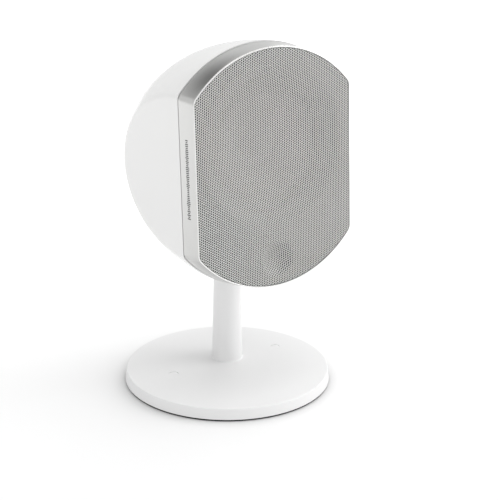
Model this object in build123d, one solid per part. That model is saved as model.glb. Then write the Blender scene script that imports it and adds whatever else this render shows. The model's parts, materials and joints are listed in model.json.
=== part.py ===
"""Compact two-way loudspeaker: an egg-shaped head that swivels and tilts on a round weighted stand.

Units are millimetres and +Z is up. The origin is where the post's axis meets the surface that the
stand is on, and the head faces -Y. The base's centre lies in front of the post. The head's parts are drawn in the head's own frame: X to the right, Y from the front
rim towards the back, Z up, with the origin in the middle of the front rim. head_place then leans the
head back about the tilt pivot.
"""

from build123d import *
from math import cos, pi, radians, sin, sqrt
import os

CUT_OVERRUN = 1.0

# ---------------------------------------------------------------- stand
BASE_CENTRE = (-9.9, -15.0)
PAD_RADIUS = 88.75
PAD_THICKNESS = 1.6
BASE_RADIUS_LOW = 89.6
BASE_RADIUS_TOP = 88.45
BASE_TOP = 10.8
BASE_SKIN = 3.0
BASE_WALL = 4.4
BASE_EDGE_ROUND = 0.9
WEIGHT_SIDE_GAP = 0.4
FIX_HOLE_RADIUS = 2.25
FIX_HOLE_SPACING = 108.1
FIX_HOLE_CENTRE = (-5.0, -5.2)
CAP_RADIUS = 3.8
CAP_SEAT_RADIUS = 4.0
CAP_SEAT_DEPTH = 2.0
CAP_RECESS = 0.2

POST_RADIUS_LOW = 13.5
POST_RADIUS_TOP = 11.35
POST_FOOT_FLARE = 1.2
POST_SPIGOT_RADIUS = 10.0
POST_BORE_RADIUS = 7.7
BUSH_SEAT_RADIUS = 8.0
POST_PLUG_LENGTH = 16.0
BASE_BOLT_RADIUS = 3.0
BASE_BOLT_HEAD_RADIUS = 6.0
BASE_BOLT_HEAD_DEPTH = 3.0
BASE_BOLT_LENGTH = 19.0

COVER_SCREW_COUNT = 4
COVER_SCREW_CIRCLE = 72.0
COVER_SCREW_START_ANGLE = 45.0
COVER_SCREW_RADIUS = 1.5
COVER_SCREW_HEAD_RADIUS = 3.0
COVER_SCREW_HEAD_DEPTH = 1.8
COVER_SCREW_LENGTH = 8.0

# ---------------------------------------------------------------- swivel
BUSH_LENGTH = 26.0
SPINDLE_RADIUS = 5.5
RUNNING_CLEARANCE = 0.05
SWIVEL_WASHER_THICKNESS = 0.95
SWIVEL_WASHER_RADIUS = 9.5
KNUCKLE_FLANGE_THICKNESS = 3.0
KNUCKLE_FLANGE_LIFT = 1.0
KNUCKLE_NECK_SINK = 1.0
KNUCKLE_WIDTH = 14.0
KNUCKLE_RADIUS = 6.5
RETAINER_RADIUS = 7.3
RETAINER_THICKNESS = 1.6
RETAINER_GAP = 0.2
SWIVEL_SCREW_RADIUS = 2.5
SWIVEL_SCREW_HEAD_RADIUS = 4.4
SWIVEL_SCREW_HEAD_DEPTH = 2.8
SWIVEL_SCREW_LENGTH = 18.0
SWIVEL_RANGE = 90.0
STOP_PIN_RADIUS = 0.8
STOP_PIN_CIRCLE = 6.9
STOP_PIN_SEAT = 4.0
STOP_PIN_RISE = 2.2
STOP_GROOVE_DEPTH = 1.6
STOP_GROOVE_SIDE_GAP = 0.35

# ---------------------------------------------------------------- tilt pivot
PIVOT_HEIGHT = 121.7
PIVOT_DEPTH = 75.25
PIVOT_BELOW_CENTRE = 75.5
LEAN_BACK = 3.0
TILT_RANGE = 10.0
POST_TOP_BELOW_PIVOT = 13.5
PIVOT_BOLT_RADIUS = 3.0
PIVOT_BOLT_HEAD_RADIUS = 5.0
PIVOT_BOLT_HEAD_LENGTH = 3.5
PIVOT_BOLT_TAIL = 1.0
NUT_ACROSS_CORNERS_RADIUS = 5.8
NUT_LENGTH = 4.0
TILT_WASHER_GAP = 0.1
TILT_WASHER_THICKNESS = 1.1
TILT_WASHER_RADIUS = 5.8
EAR_THICKNESS = 3.0
EAR_RADIUS = 6.0
BRACKET_THICKNESS = 2.0
BRACKET_BELOW_PIVOT = 7.5
BRACKET_HALF_WIDTH = 24.0
BRACKET_FRONT = 52.0
BRACKET_BACK = 85.0
BRACKET_SLOT_HALF_LENGTH = 10.5
BRACKET_SCREW_X = 19.0
BRACKET_SCREW_DEPTHS = (58.0, 81.0)
BRACKET_SCREW_LENGTH = 6.5
BRACKET_BOSS_RADIUS = 4.0
BRACKET_SIDE_GAP = 0.2
BRACKET_HEADROOM = 8.0

# ---------------------------------------------------------------- head outline
RIM_RADIUS = 98.9
RIM_HALF_WIDTH = 76.2
GRILLE_RADIUS = 97.3
GRILLE_HALF_WIDTH = 75.1
CORNER_RADIUS = 9.0
BEZEL_DEPTH = 20.4
BEZEL_REAR_RADIUS = 100.7
BEZEL_REAR_HALF_WIDTH = 77.4
BEZEL_WALL = 1.7
BEZEL_FLANGE_THICKNESS = 1.6
FRONT_OPENING_RADIUS = 91.7
FRONT_OPENING_HALF_WIDTH = 66.0
SHELL_GAP = 0.8
SHELL_SEAL_INSET = 1.2
SHELL_RADIUS = 101.5
SHELL_EQUATOR_DEPTH = 19.9
SHELL_SEMI_DEPTH = 143.4
SHELL_HALF_WIDTH = 77.4
SHELL_WALL = 3.5
SHELL_FLANGE_THICKNESS = 4.0
SHELL_REAR = 153.0
SHELL_EDGE_ROUND = 8.0
SHELL_PROFILE_STEPS = 12
SLOT_SIDE_GAP = 1.0
SLOT_END_GAP = 0.8

# ---------------------------------------------------------------- grille and baffle
GRILLE_EDGE_GAP = 0.2
GRILLE_RECESS = 0.3
GRILLE_THICKNESS = 0.5
LEDGE_INSET = 4.0
LEDGE_THICKNESS = 2.0
WOOFER_HEIGHT = 18.5
WOOFER_DISH_RADIUS = 65.5
WOOFER_DISH_SAG = 5.0
TWEETER_HEIGHT = -75.5
TWEETER_DISH_RADIUS = 15.0
TWEETER_DISH_SAG = 3.6
BAFFLE_THICKNESS = 4.0
BAFFLE_EDGE_GAP = 0.4
GASKET_THICKNESS = 1.0
WOOFER_HOLE_RADIUS = 58.2
TWEETER_HOLE_RADIUS = 14.2
BAFFLE_SCREW_PLACES = ((38.3, 85.5), (38.3, -85.5), (70.0, 45.0), (70.0, -35.0))
BAFFLE_SCREW_RADIUS = 1.5
BAFFLE_SCREW_HEAD_RADIUS = 2.7
BAFFLE_SCREW_HEAD_HEIGHT = 2.0
BAFFLE_SCREW_LENGTH = 18.0
BAFFLE_BOSS_RADIUS = 3.4
BAFFLE_BOSS_LENGTH = 15.0

# ---------------------------------------------------------------- woofer
WOOFER_FLANGE_RADIUS = 64.0
WOOFER_FLANGE_THICKNESS = 2.5
WOOFER_GASKET_THICKNESS = 0.8
WOOFER_SCREW_COUNT = 6
WOOFER_SCREW_CIRCLE = 60.8
WOOFER_SCREW_RADIUS = 1.5
WOOFER_SCREW_HEAD_RADIUS = 2.7
WOOFER_SCREW_HEAD_HEIGHT = 1.8
WOOFER_SCREW_LENGTH = 6.6
BASKET_MOUTH_RADIUS = 57.6
BASKET_NECK_RADIUS = 43.5
BASKET_WALL = 2.2
BASKET_CONE_LENGTH = 24.0
BASKET_SEAT_LENGTH = 6.0
BASKET_WINDOW_COUNT = 6
BASKET_WINDOW_RADIUS = 7.0
SURROUND_OUTER_RADIUS = 57.0
SURROUND_ROLL_OUTER = 54.0
SURROUND_ROLL_INNER = 46.5
SURROUND_INNER_RADIUS = 44.5
SURROUND_THICKNESS = 0.5
SURROUND_ROLL_HEIGHT = 3.6
SURROUND_SEAT_GAP = 1.0
CONE_DEPTH = 19.0
CONE_THICKNESS = 0.8
DUST_CAP_RADIUS = 17.0
DUST_CAP_RISE = 4.5
FORMER_INNER_RADIUS = 12.5
FORMER_RADIUS = 12.9
FORMER_LENGTH = 23.0
VOICE_COIL_RADIUS = 13.6
VOICE_COIL_LENGTH = 8.0
POLE_RADIUS = 12.0
POLE_VENT_RADIUS = 4.0
GAP_RADIUS = 14.2
TOP_PLATE_RADIUS = 38.0
TOP_PLATE_THICKNESS = 5.0
MAGNET_RADIUS = 40.0
MAGNET_BORE_RADIUS = 18.0
MAGNET_THICKNESS = 14.0
BACK_PLATE_THICKNESS = 6.0
SPIDER_WAVES = 5
SPIDER_WAVE_HEIGHT = 0.9
SPIDER_THICKNESS = 0.5
SPIDER_STEPS = 60
SPIDER_BORE_GAP = 0.1
TAG_STRIP_SIZE = (14.0, 4.0, 2.4)

# ---------------------------------------------------------------- tweeter
TWEETER_PLATE_RADIUS = 19.0
TWEETER_PLATE_THICKNESS = 2.6
TWEETER_MOUTH_RADIUS = 11.6
TWEETER_SCREW_COUNT = 3
TWEETER_SCREW_CIRCLE = 16.7
TWEETER_SCREW_RADIUS = 1.0
TWEETER_SCREW_HEAD_RADIUS = 1.8
TWEETER_SCREW_HEAD_HEIGHT = 1.2
TWEETER_SCREW_LENGTH = 5.6
DOME_RADIUS = 9.5
DOME_SAG = 1.8
DOME_THICKNESS = 0.4
DOME_SEAT = 1.2
TWEETER_COIL_INNER = 8.9
TWEETER_COIL_LENGTH = 4.6
TWEETER_CUP_RADIUS = 13.8
TWEETER_CUP_INNER = 10.2
TWEETER_CUP_LENGTH = 10.0
TWEETER_CUP_FLOOR = 3.0
TWEETER_POLE_RADIUS = 8.3
TWEETER_POLE_THICKNESS = 2.2
TWEETER_MAGNET_RADIUS = 7.6
TWEETER_MAGNET_THICKNESS = 3.4
CHAMBER_LENGTH = 11.0
CHAMBER_WALL = 1.4

# ---------------------------------------------------------------- crossover and terminals
BOARD_SIZE = (60.0, 50.0)
BOARD_THICKNESS = 1.6
SPACER_LENGTH = 14.5
SPACER_RADIUS = 3.0
SPACER_X = 24.0
SPACER_Z = 20.0
BOARD_SCREW_RADIUS = 1.25
BOARD_SCREW_HEAD_RADIUS = 2.3
BOARD_SCREW_HEAD_HEIGHT = 1.6
BOARD_SCREW_LENGTH = 8.0
INDUCTORS = ((-12.0, 9.0, 11.0, 13.0), (13.0, 9.0, 9.0, 11.0))
INDUCTOR_CORE_RADIUS = 4.0
CAPACITOR_RADIUS = 5.5
CAPACITOR_LENGTH = 24.0
CAPACITOR_X = 15.0
CAPACITOR_Z = -10.0
RESISTOR_SIZE = (24.0, 8.0, 7.0)
RESISTOR_Z = -21.0

TERMINAL_PLATE_RADIUS = 31.0
TERMINAL_SEAT_RADIUS = 31.2
TERMINAL_SEAT_DEPTH = 2.0
TERMINAL_PLATE_THICKNESS = 2.5
TERMINAL_BODY_RADIUS = 26.8
TERMINAL_HOLE_RADIUS = 27.1
TERMINAL_BOX = (46.0, 28.0)
TERMINAL_BOX_WALL = 2.0
TERMINAL_RECESS_DEPTH = 8.0
TERMINAL_SCREW_COUNT = 4
TERMINAL_SCREW_CIRCLE = 29.0
TERMINAL_SCREW_START_ANGLE = 45.0
TERMINAL_SCREW_RADIUS = 1.0
TERMINAL_SCREW_HEAD_RADIUS = 1.7
TERMINAL_SCREW_HEAD_HEIGHT = 1.0
TERMINAL_SCREW_LENGTH = 3.6
BLOCK_FLOOR = 1.3
BLOCK_FACE = 4.8
WIRE_BORE_RADIUS = 1.6
WIRE_BORE_CLEARANCE = 0.3
TERMINAL_X = 10.0
WIRE_BORE_Z = -7.5
WIRE_BOSS_BOTTOM = -11.8
WIRE_BOSS_TOP = -4.2
LEVER_WIDTH = 12.6
LEVER_THICKNESS = 2.6
LEVER_BOTTOM = -3.2
LEVER_TOP = 9.0
LEVER_PIVOT_Z = 6.5
LEVER_RISE = 6.2
LEVER_LUG_RADIUS = 1.2
LEVER_LUG_LENGTH = 1.2
LEVER_SIDE_GAP = 0.3
EAR_BLOCK_BOTTOM = 4.0
EAR_BLOCK_TOP = 11.0
EAR_BACK_WALL = 0.8

WADDING_SIZE = (94.0, 34.0, 88.0)
WADDING_CENTRE = (0.0, 94.5, 2.0)
WADDING_ROUND = 12.0

# ---------------------------------------------------------------- levels worked out from the above
WEIGHT_TOP = BASE_TOP - BASE_SKIN
POST_TOP = PIVOT_HEIGHT - POST_TOP_BELOW_PIVOT
BUSH_BOTTOM = POST_TOP - BUSH_LENGTH
FLANGE_BOTTOM = POST_TOP + KNUCKLE_FLANGE_LIFT
SPINDLE_BOTTOM = BUSH_BOTTOM - RETAINER_GAP
RETAINER_BOTTOM = SPINDLE_BOTTOM - RETAINER_THICKNESS
RIM_WIDTH = RIM_HALF_WIDTH - GRILLE_HALF_WIDTH
BEZEL_FLANGE_FRONT = BEZEL_DEPTH - BEZEL_FLANGE_THICKNESS
BAFFLE_BACK = BEZEL_FLANGE_FRONT - GASKET_THICKNESS
BAFFLE_FRONT = BAFFLE_BACK - BAFFLE_THICKNESS
SHELL_FRONT = BEZEL_DEPTH + SHELL_GAP
SHELL_REAR_INNER = SHELL_REAR - SHELL_WALL
BRACKET_LEVEL = -(PIVOT_BELOW_CENTRE + BRACKET_BELOW_PIVOT)
WOOFER_FLANGE_BACK = BAFFLE_FRONT - WOOFER_GASKET_THICKNESS
WOOFER_FLANGE_FRONT = WOOFER_FLANGE_BACK - WOOFER_FLANGE_THICKNESS
CONE_RIM = WOOFER_FLANGE_FRONT
CONE_NECK = CONE_RIM + CONE_DEPTH
BASKET_NECK = WOOFER_FLANGE_BACK + BASKET_CONE_LENGTH
BASKET_END = BASKET_NECK + BASKET_SEAT_LENGTH
MAGNET_FRONT = BASKET_END + TOP_PLATE_THICKNESS
MAGNET_BACK = MAGNET_FRONT + MAGNET_THICKNESS
TWEETER_PLATE_FRONT = BAFFLE_FRONT - TWEETER_PLATE_THICKNESS
DOME_RIM = TWEETER_PLATE_FRONT + DOME_SEAT
CUP_BACK = BAFFLE_FRONT + TWEETER_CUP_LENGTH
SPACER_FRONT = SHELL_REAR_INNER - SPACER_LENGTH
BOARD_FRONT = SPACER_FRONT - BOARD_THICKNESS
TERMINAL_PLATE_INNER = SHELL_REAR - TERMINAL_SEAT_DEPTH
TERMINAL_FACE = TERMINAL_PLATE_INNER + TERMINAL_PLATE_THICKNESS
RECESS_FLOOR = TERMINAL_FACE - TERMINAL_RECESS_DEPTH
RECESS_BACK = RECESS_FLOOR - TERMINAL_BOX_WALL
LEVER_PIVOT_DEPTH = RECESS_FLOOR + LEVER_RISE


# ---------------------------------------------------------------- places and common shapes
def head_place():
    """Moves the head's own frame on to the tilt pivot, leaning back by LEAN_BACK."""
    pivot = Location((0, 0, PIVOT_HEIGHT)) * Location((0, 0, 0), (-LEAN_BACK, 0, 0))
    return pivot * Location((0, -PIVOT_DEPTH, PIVOT_BELOW_CENTRE))


def rod(radius, bottom, top, x=0.0, y=0.0):
    """An upright cylinder between two heights."""
    middle = (bottom + top) / 2
    return Pos(x, y, middle) * Cylinder(radius, top - bottom)


def tube(radius, bore, bottom, top):
    """An upright tube between two heights."""
    return rod(radius, bottom, top) - rod(bore, bottom, top)


def disc(radius, front, back, x=0.0, z=0.0):
    """A cylinder along the head's depth between two depths."""
    middle = (front + back) / 2
    return Pos(x, middle, z) * Rot(90, 0, 0) * Cylinder(radius, back - front)


def ring(radius, bore, front, back, x=0.0, z=0.0):
    """A flat ring or tube along the head's depth."""
    return disc(radius, front, back, x, z) - disc(bore, front, back, x, z)


def block(x0, x1, y0, y1, z0, z1):
    """A box between two corners."""
    size = Box(x1 - x0, y1 - y0, z1 - z0)
    return Pos((x0 + x1) / 2, (y0 + y1) / 2, (z0 + z1) / 2) * size


def turned(edges, z=0.0):
    """A solid turned about the depth axis from edges drawn as (radius, depth)."""
    return Pos(0, 0, z) * revolve(make_face(edges), Axis.Y)


def turned_corners(corners, z=0.0):
    """A solid turned about the depth axis from (radius, depth) corners."""
    return turned(Polyline(*corners, close=True), z)


def outline(radius, half_width, corner):
    """A circle cut off at both sides, its four corners rounded."""
    cut = Circle(radius) & Rectangle(2 * half_width, 2 * (radius + CUT_OVERRUN))
    return fillet(cut.vertices(), corner)


def plate(sketch, front, back):
    """A sketch on the X-Z plane thickened between two depths."""
    return Pos(0, front, 0) * extrude(Plane.XZ * sketch, front - back)


def around(count, radius, start=90.0):
    """Evenly spaced (x, z) places on a circle."""
    angles = [radians(start + 360 * i / count) for i in range(count)]
    return [(radius * cos(a), radius * sin(a)) for a in angles]


def mirrored_places(places):
    """Each (x, z) place with its mirror image in X."""
    return [(side * x, z) for x, z in places for side in (-1, 1)]


def joined(solids):
    """Several separate solids kept as one group."""
    return Compound(children=list(solids))


def cap_arc(radius, sag):
    """How a shallow dish's depth follows its radius: its sphere's radius."""
    return (radius * radius + sag * sag) / (2 * sag)


def dish_profile(radius, sag, front, thickness):
    """The closed half-profile of a shallow dish of even thickness, deepest on its axis."""
    sphere = cap_arc(radius, sag)
    half = radius / 2
    middle = front + sag - (sphere - sqrt(sphere * sphere - half * half))
    face = ThreePointArc((radius, front), (half, middle), (0, front + sag))
    axis = Line((0, front + sag), (0, front + sag + thickness))
    rear = front + thickness
    back = ThreePointArc((0, rear + sag), (half, middle + thickness), (radius, rear))
    edge = Line((radius, front + thickness), (radius, front))
    return [face, axis, back, edge]


# ---------------------------------------------------------------- stand
def fixing_places():
    x, y = FIX_HOLE_CENTRE
    return [(x - FIX_HOLE_SPACING / 2, y), (x + FIX_HOLE_SPACING / 2, y)]


def cover_screw_places():
    places = around(COVER_SCREW_COUNT, COVER_SCREW_CIRCLE, COVER_SCREW_START_ANGLE)
    return [(x + BASE_CENTRE[0], y + BASE_CENTRE[1]) for x, y in places]


def foot_pad():
    pad = rod(PAD_RADIUS, 0, PAD_THICKNESS, *BASE_CENTRE)
    for x, y in fixing_places():
        pad -= rod(FIX_HOLE_RADIUS, 0, PAD_THICKNESS, x, y)
    return pad


def base_weight():
    radius = BASE_RADIUS_TOP - BASE_WALL - WEIGHT_SIDE_GAP
    weight = rod(radius, PAD_THICKNESS, WEIGHT_TOP, *BASE_CENTRE)
    weight -= rod(BASE_BOLT_RADIUS, PAD_THICKNESS, WEIGHT_TOP)
    weight -= rod(BASE_BOLT_HEAD_RADIUS, PAD_THICKNESS, PAD_THICKNESS + BASE_BOLT_HEAD_DEPTH)
    for x, y in fixing_places():
        weight -= rod(FIX_HOLE_RADIUS, PAD_THICKNESS, WEIGHT_TOP, x, y)
    for x, y in cover_screw_places():
        weight -= rod(COVER_SCREW_RADIUS, PAD_THICKNESS, WEIGHT_TOP, x, y)
        weight -= rod(COVER_SCREW_HEAD_RADIUS, PAD_THICKNESS, PAD_THICKNESS + COVER_SCREW_HEAD_DEPTH, x, y)
    return weight


def base_cover():
    height = BASE_TOP - PAD_THICKNESS
    middle = PAD_THICKNESS + height / 2
    body = Pos(*BASE_CENTRE, middle) * Cone(BASE_RADIUS_LOW, BASE_RADIUS_TOP, height)
    body = fillet(body.edges().sort_by(Axis.Z)[-1:], BASE_EDGE_ROUND)
    body -= rod(BASE_RADIUS_TOP - BASE_WALL, PAD_THICKNESS, WEIGHT_TOP, *BASE_CENTRE)
    body -= rod(POST_SPIGOT_RADIUS, WEIGHT_TOP, BASE_TOP)
    for x, y in fixing_places():
        body -= rod(FIX_HOLE_RADIUS, WEIGHT_TOP, BASE_TOP, x, y)
        body -= rod(CAP_SEAT_RADIUS, BASE_TOP - CAP_SEAT_DEPTH, BASE_TOP, x, y)
    for x, y in cover_screw_places():
        body -= rod(COVER_SCREW_RADIUS, WEIGHT_TOP, cover_screw_tip(), x, y)
    return body


def cover_screw_tip():
    return PAD_THICKNESS + COVER_SCREW_LENGTH


def cover_screws():
    screws = []
    for x, y in cover_screw_places():
        head = rod(COVER_SCREW_HEAD_RADIUS, PAD_THICKNESS, PAD_THICKNESS + COVER_SCREW_HEAD_DEPTH, x, y)
        screws.append(head + rod(COVER_SCREW_RADIUS, PAD_THICKNESS, cover_screw_tip(), x, y))
    return joined(screws)


def screw_hole_caps():
    bottom = BASE_TOP - CAP_SEAT_DEPTH
    return joined(rod(CAP_RADIUS, bottom, BASE_TOP - CAP_RECESS, x, y) for x, y in fixing_places())


def post():
    """The tapered post, with a small flare at its foot and a spigot through the cover."""
    flare_radius = POST_RADIUS_LOW + POST_FOOT_FLARE
    flare_top = BASE_TOP + POST_FOOT_FLARE
    corner = POST_FOOT_FLARE * (1 - sqrt(0.5))
    side = [
        Line((0, WEIGHT_TOP), (POST_SPIGOT_RADIUS, WEIGHT_TOP)),
        Line((POST_SPIGOT_RADIUS, WEIGHT_TOP), (POST_SPIGOT_RADIUS, BASE_TOP)),
        Line((POST_SPIGOT_RADIUS, BASE_TOP), (flare_radius, BASE_TOP)),
        ThreePointArc(
            (flare_radius, BASE_TOP),
            (POST_RADIUS_LOW + corner, BASE_TOP + corner),
            (POST_RADIUS_LOW, flare_top),
        ),
        Line((POST_RADIUS_LOW, flare_top), (POST_RADIUS_TOP, POST_TOP)),
        Line((POST_RADIUS_TOP, POST_TOP), (0, POST_TOP)),
        Line((0, POST_TOP), (0, WEIGHT_TOP)),
    ]
    body = revolve(make_face(Plane.XZ * Curve(side)), Axis.Z)
    body -= rod(POST_BORE_RADIUS, WEIGHT_TOP, POST_TOP)
    return body - rod(BUSH_SEAT_RADIUS, BUSH_BOTTOM, POST_TOP)


def post_plug():
    plug = rod(POST_BORE_RADIUS, WEIGHT_TOP, WEIGHT_TOP + POST_PLUG_LENGTH)
    return plug - rod(BASE_BOLT_RADIUS, WEIGHT_TOP, WEIGHT_TOP + POST_PLUG_LENGTH)


def base_bolt():
    head = rod(BASE_BOLT_HEAD_RADIUS, PAD_THICKNESS, PAD_THICKNESS + BASE_BOLT_HEAD_DEPTH)
    return head + rod(BASE_BOLT_RADIUS, PAD_THICKNESS, PAD_THICKNESS + BASE_BOLT_LENGTH)


def swivel_bush():
    bush = tube(BUSH_SEAT_RADIUS, SPINDLE_RADIUS + RUNNING_CLEARANCE, BUSH_BOTTOM, POST_TOP)
    return bush - rod(STOP_PIN_RADIUS, POST_TOP - STOP_PIN_SEAT, POST_TOP, 0, STOP_PIN_CIRCLE)


def swivel_stop_pin():
    return rod(STOP_PIN_RADIUS, POST_TOP - STOP_PIN_SEAT, POST_TOP + STOP_PIN_RISE, 0, STOP_PIN_CIRCLE)


def swivel_washer():
    washer = tube(SWIVEL_WASHER_RADIUS, SPINDLE_RADIUS + STOP_GROOVE_SIDE_GAP, POST_TOP,
                  POST_TOP + SWIVEL_WASHER_THICKNESS)
    return washer - rod(STOP_PIN_RADIUS, POST_TOP, FLANGE_BOTTOM, 0, STOP_PIN_CIRCLE)


# ---------------------------------------------------------------- swivel
def stop_groove():
    """The arc in the flange that lets the stop pin through SWIVEL_RANGE either way."""
    half = STOP_PIN_RADIUS + STOP_GROOVE_SIDE_GAP
    spare = half / STOP_PIN_CIRCLE * 180 / pi
    sweep = 2 * (SWIVEL_RANGE + spare)
    x0 = STOP_PIN_CIRCLE - half
    x1 = STOP_PIN_CIRCLE + half
    z0 = FLANGE_BOTTOM - STOP_GROOVE_DEPTH
    z1 = FLANGE_BOTTOM + STOP_GROOVE_DEPTH
    face = make_face(Plane.XZ * Polyline((x0, z0), (x1, z0), (x1, z1), (x0, z1), close=True))
    return Rot(0, 0, 90 - sweep / 2) * revolve(face, Axis.Z, sweep)


def swivel_knuckle():
    """Spindle, flange and cross-bored knuckle in one turned and milled piece."""
    flange_top = FLANGE_BOTTOM + KNUCKLE_FLANGE_THICKNESS
    neck_bottom = flange_top - KNUCKLE_NECK_SINK
    half = KNUCKLE_WIDTH / 2
    body = rod(SPINDLE_RADIUS, SPINDLE_BOTTOM, flange_top)
    body += rod(SWIVEL_WASHER_RADIUS, FLANGE_BOTTOM, flange_top)
    body += block(-half, half, -KNUCKLE_RADIUS, KNUCKLE_RADIUS, neck_bottom, PIVOT_HEIGHT)
    eye = Pos(0, 0, PIVOT_HEIGHT) * Rot(0, 90, 0) * Cylinder(KNUCKLE_RADIUS, KNUCKLE_WIDTH)
    bore = Pos(0, 0, PIVOT_HEIGHT) * Rot(0, 90, 0)
    body = body + eye - bore * Cylinder(PIVOT_BOLT_RADIUS + RUNNING_CLEARANCE, KNUCKLE_WIDTH)
    body -= stop_groove()
    return body - rod(SWIVEL_SCREW_RADIUS, SPINDLE_BOTTOM, RETAINER_BOTTOM + SWIVEL_SCREW_LENGTH)


def swivel_retainer():
    return tube(RETAINER_RADIUS, SWIVEL_SCREW_RADIUS, RETAINER_BOTTOM, SPINDLE_BOTTOM)


def swivel_screw():
    head = rod(SWIVEL_SCREW_HEAD_RADIUS, RETAINER_BOTTOM - SWIVEL_SCREW_HEAD_DEPTH, RETAINER_BOTTOM)
    return head + rod(SWIVEL_SCREW_RADIUS, RETAINER_BOTTOM, RETAINER_BOTTOM + SWIVEL_SCREW_LENGTH)


# ---------------------------------------------------------------- tilt pivot, in the head's frame
def cross_rod(radius, x0, x1):
    """A cylinder on the tilt axis between two widths."""
    middle = (x0 + x1) / 2
    return Pos(middle, PIVOT_DEPTH, -PIVOT_BELOW_CENTRE) * Rot(0, 90, 0) * Cylinder(radius, x1 - x0)


def ear_inner():
    return KNUCKLE_WIDTH / 2 + TILT_WASHER_GAP + TILT_WASHER_THICKNESS


def bracket_screw_places():
    return [(side * BRACKET_SCREW_X, depth) for side in (-1, 1) for depth in BRACKET_SCREW_DEPTHS]


def pivot_bracket():
    top = BRACKET_LEVEL + BRACKET_THICKNESS
    inner = ear_inner()
    outer = inner + EAR_THICKNESS
    body = block(-BRACKET_HALF_WIDTH, BRACKET_HALF_WIDTH, BRACKET_FRONT, BRACKET_BACK, BRACKET_LEVEL, top)
    front = PIVOT_DEPTH - EAR_RADIUS
    back = PIVOT_DEPTH + EAR_RADIUS
    for side in (-1, 1):
        x0, x1 = sorted((side * inner, side * outer))
        body += block(x0, x1, front, back, BRACKET_LEVEL, -PIVOT_BELOW_CENTRE)
        body += cross_rod(EAR_RADIUS, x0, x1)
    slot_front = PIVOT_DEPTH - BRACKET_SLOT_HALF_LENGTH
    slot_back = BRACKET_BACK + CUT_OVERRUN
    body -= block(-inner, inner, slot_front, slot_back, BRACKET_LEVEL - CUT_OVERRUN, 0)
    body -= cross_rod(PIVOT_BOLT_RADIUS, -outer, outer)
    for x, y in bracket_screw_places():
        body -= rod(BAFFLE_SCREW_RADIUS, BRACKET_LEVEL, top, x, y)
    return body


def bracket_screws():
    top = BRACKET_LEVEL + BRACKET_THICKNESS
    screws = []
    for x, y in bracket_screw_places():
        head = rod(BAFFLE_SCREW_HEAD_RADIUS, top, top + BAFFLE_SCREW_HEAD_HEIGHT, x, y)
        screws.append(head + rod(BAFFLE_SCREW_RADIUS, top - BRACKET_SCREW_LENGTH, top, x, y))
    return joined(screws)


def tilt_washers():
    outer = ear_inner()
    inner = outer - TILT_WASHER_THICKNESS
    hole = PIVOT_BOLT_RADIUS + RUNNING_CLEARANCE
    rings = []
    for x0, x1 in ((-outer, -inner), (inner, outer)):
        rings.append(cross_rod(TILT_WASHER_RADIUS, x0, x1) - cross_rod(hole, x0, x1))
    return joined(rings)


def pivot_bolt():
    outer = ear_inner() + EAR_THICKNESS
    tail = outer + NUT_LENGTH + PIVOT_BOLT_TAIL
    head = cross_rod(PIVOT_BOLT_HEAD_RADIUS, -outer - PIVOT_BOLT_HEAD_LENGTH, -outer)
    return head + cross_rod(PIVOT_BOLT_RADIUS, -outer, tail)


def pivot_nut():
    outer = ear_inner() + EAR_THICKNESS
    hexagon = RegularPolygon(NUT_ACROSS_CORNERS_RADIUS, 6, rotation=30)
    place = Location((outer, PIVOT_DEPTH, -PIVOT_BELOW_CENTRE), (0, 90, 0))
    return place * extrude(hexagon, NUT_LENGTH) - cross_rod(PIVOT_BOLT_RADIUS, outer, outer + NUT_LENGTH)


# ---------------------------------------------------------------- shell and bezel
def egg(radius, semi_depth, half_width, front, back):
    """An ellipsoid about the depth axis, cut flat at both sides, the front and the back."""
    centre = SHELL_EQUATOR_DEPTH

    def reach(depth):
        return radius * sqrt(1 - ((depth - centre) / semi_depth) ** 2)

    depths = [front + (back - front) * i / SHELL_PROFILE_STEPS for i in range(SHELL_PROFILE_STEPS + 1)]
    profile = [
        Line((0, front), (reach(front), front)),
        Spline([(reach(depth), depth) for depth in depths]),
        Line((reach(back), back), (0, back)),
        Line((0, back), (0, front)),
    ]
    body = turned(profile)
    return body & block(-half_width, half_width, front, back, -2 * radius, 2 * radius)


def shell_outer():
    body = egg(SHELL_RADIUS, SHELL_SEMI_DEPTH, SHELL_HALF_WIDTH, SHELL_FRONT, SHELL_REAR)
    cheeks = body.faces().filter_by(Axis.X)
    edges = [e for f in cheeks for e in f.edges() if e.center().Y > SHELL_FRONT + CUT_OVERRUN]
    return fillet(edges, SHELL_EDGE_ROUND)


def baffle_screw_places():
    return mirrored_places(BAFFLE_SCREW_PLACES)


def post_slot():
    """The slot in the shell's underside that lets the post through at every tilt."""
    width = POST_RADIUS_TOP + SLOT_SIDE_GAP
    drop = SHELL_RADIUS - PIVOT_BELOW_CENTRE
    length = POST_RADIUS_TOP + drop * sin(radians(TILT_RANGE)) + SLOT_END_GAP
    slot = SlotOverall(2 * length, 2 * width, rotation=90)
    return Pos(0, PIVOT_DEPTH, -SHELL_RADIUS - CUT_OVERRUN) * extrude(slot, drop)


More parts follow.
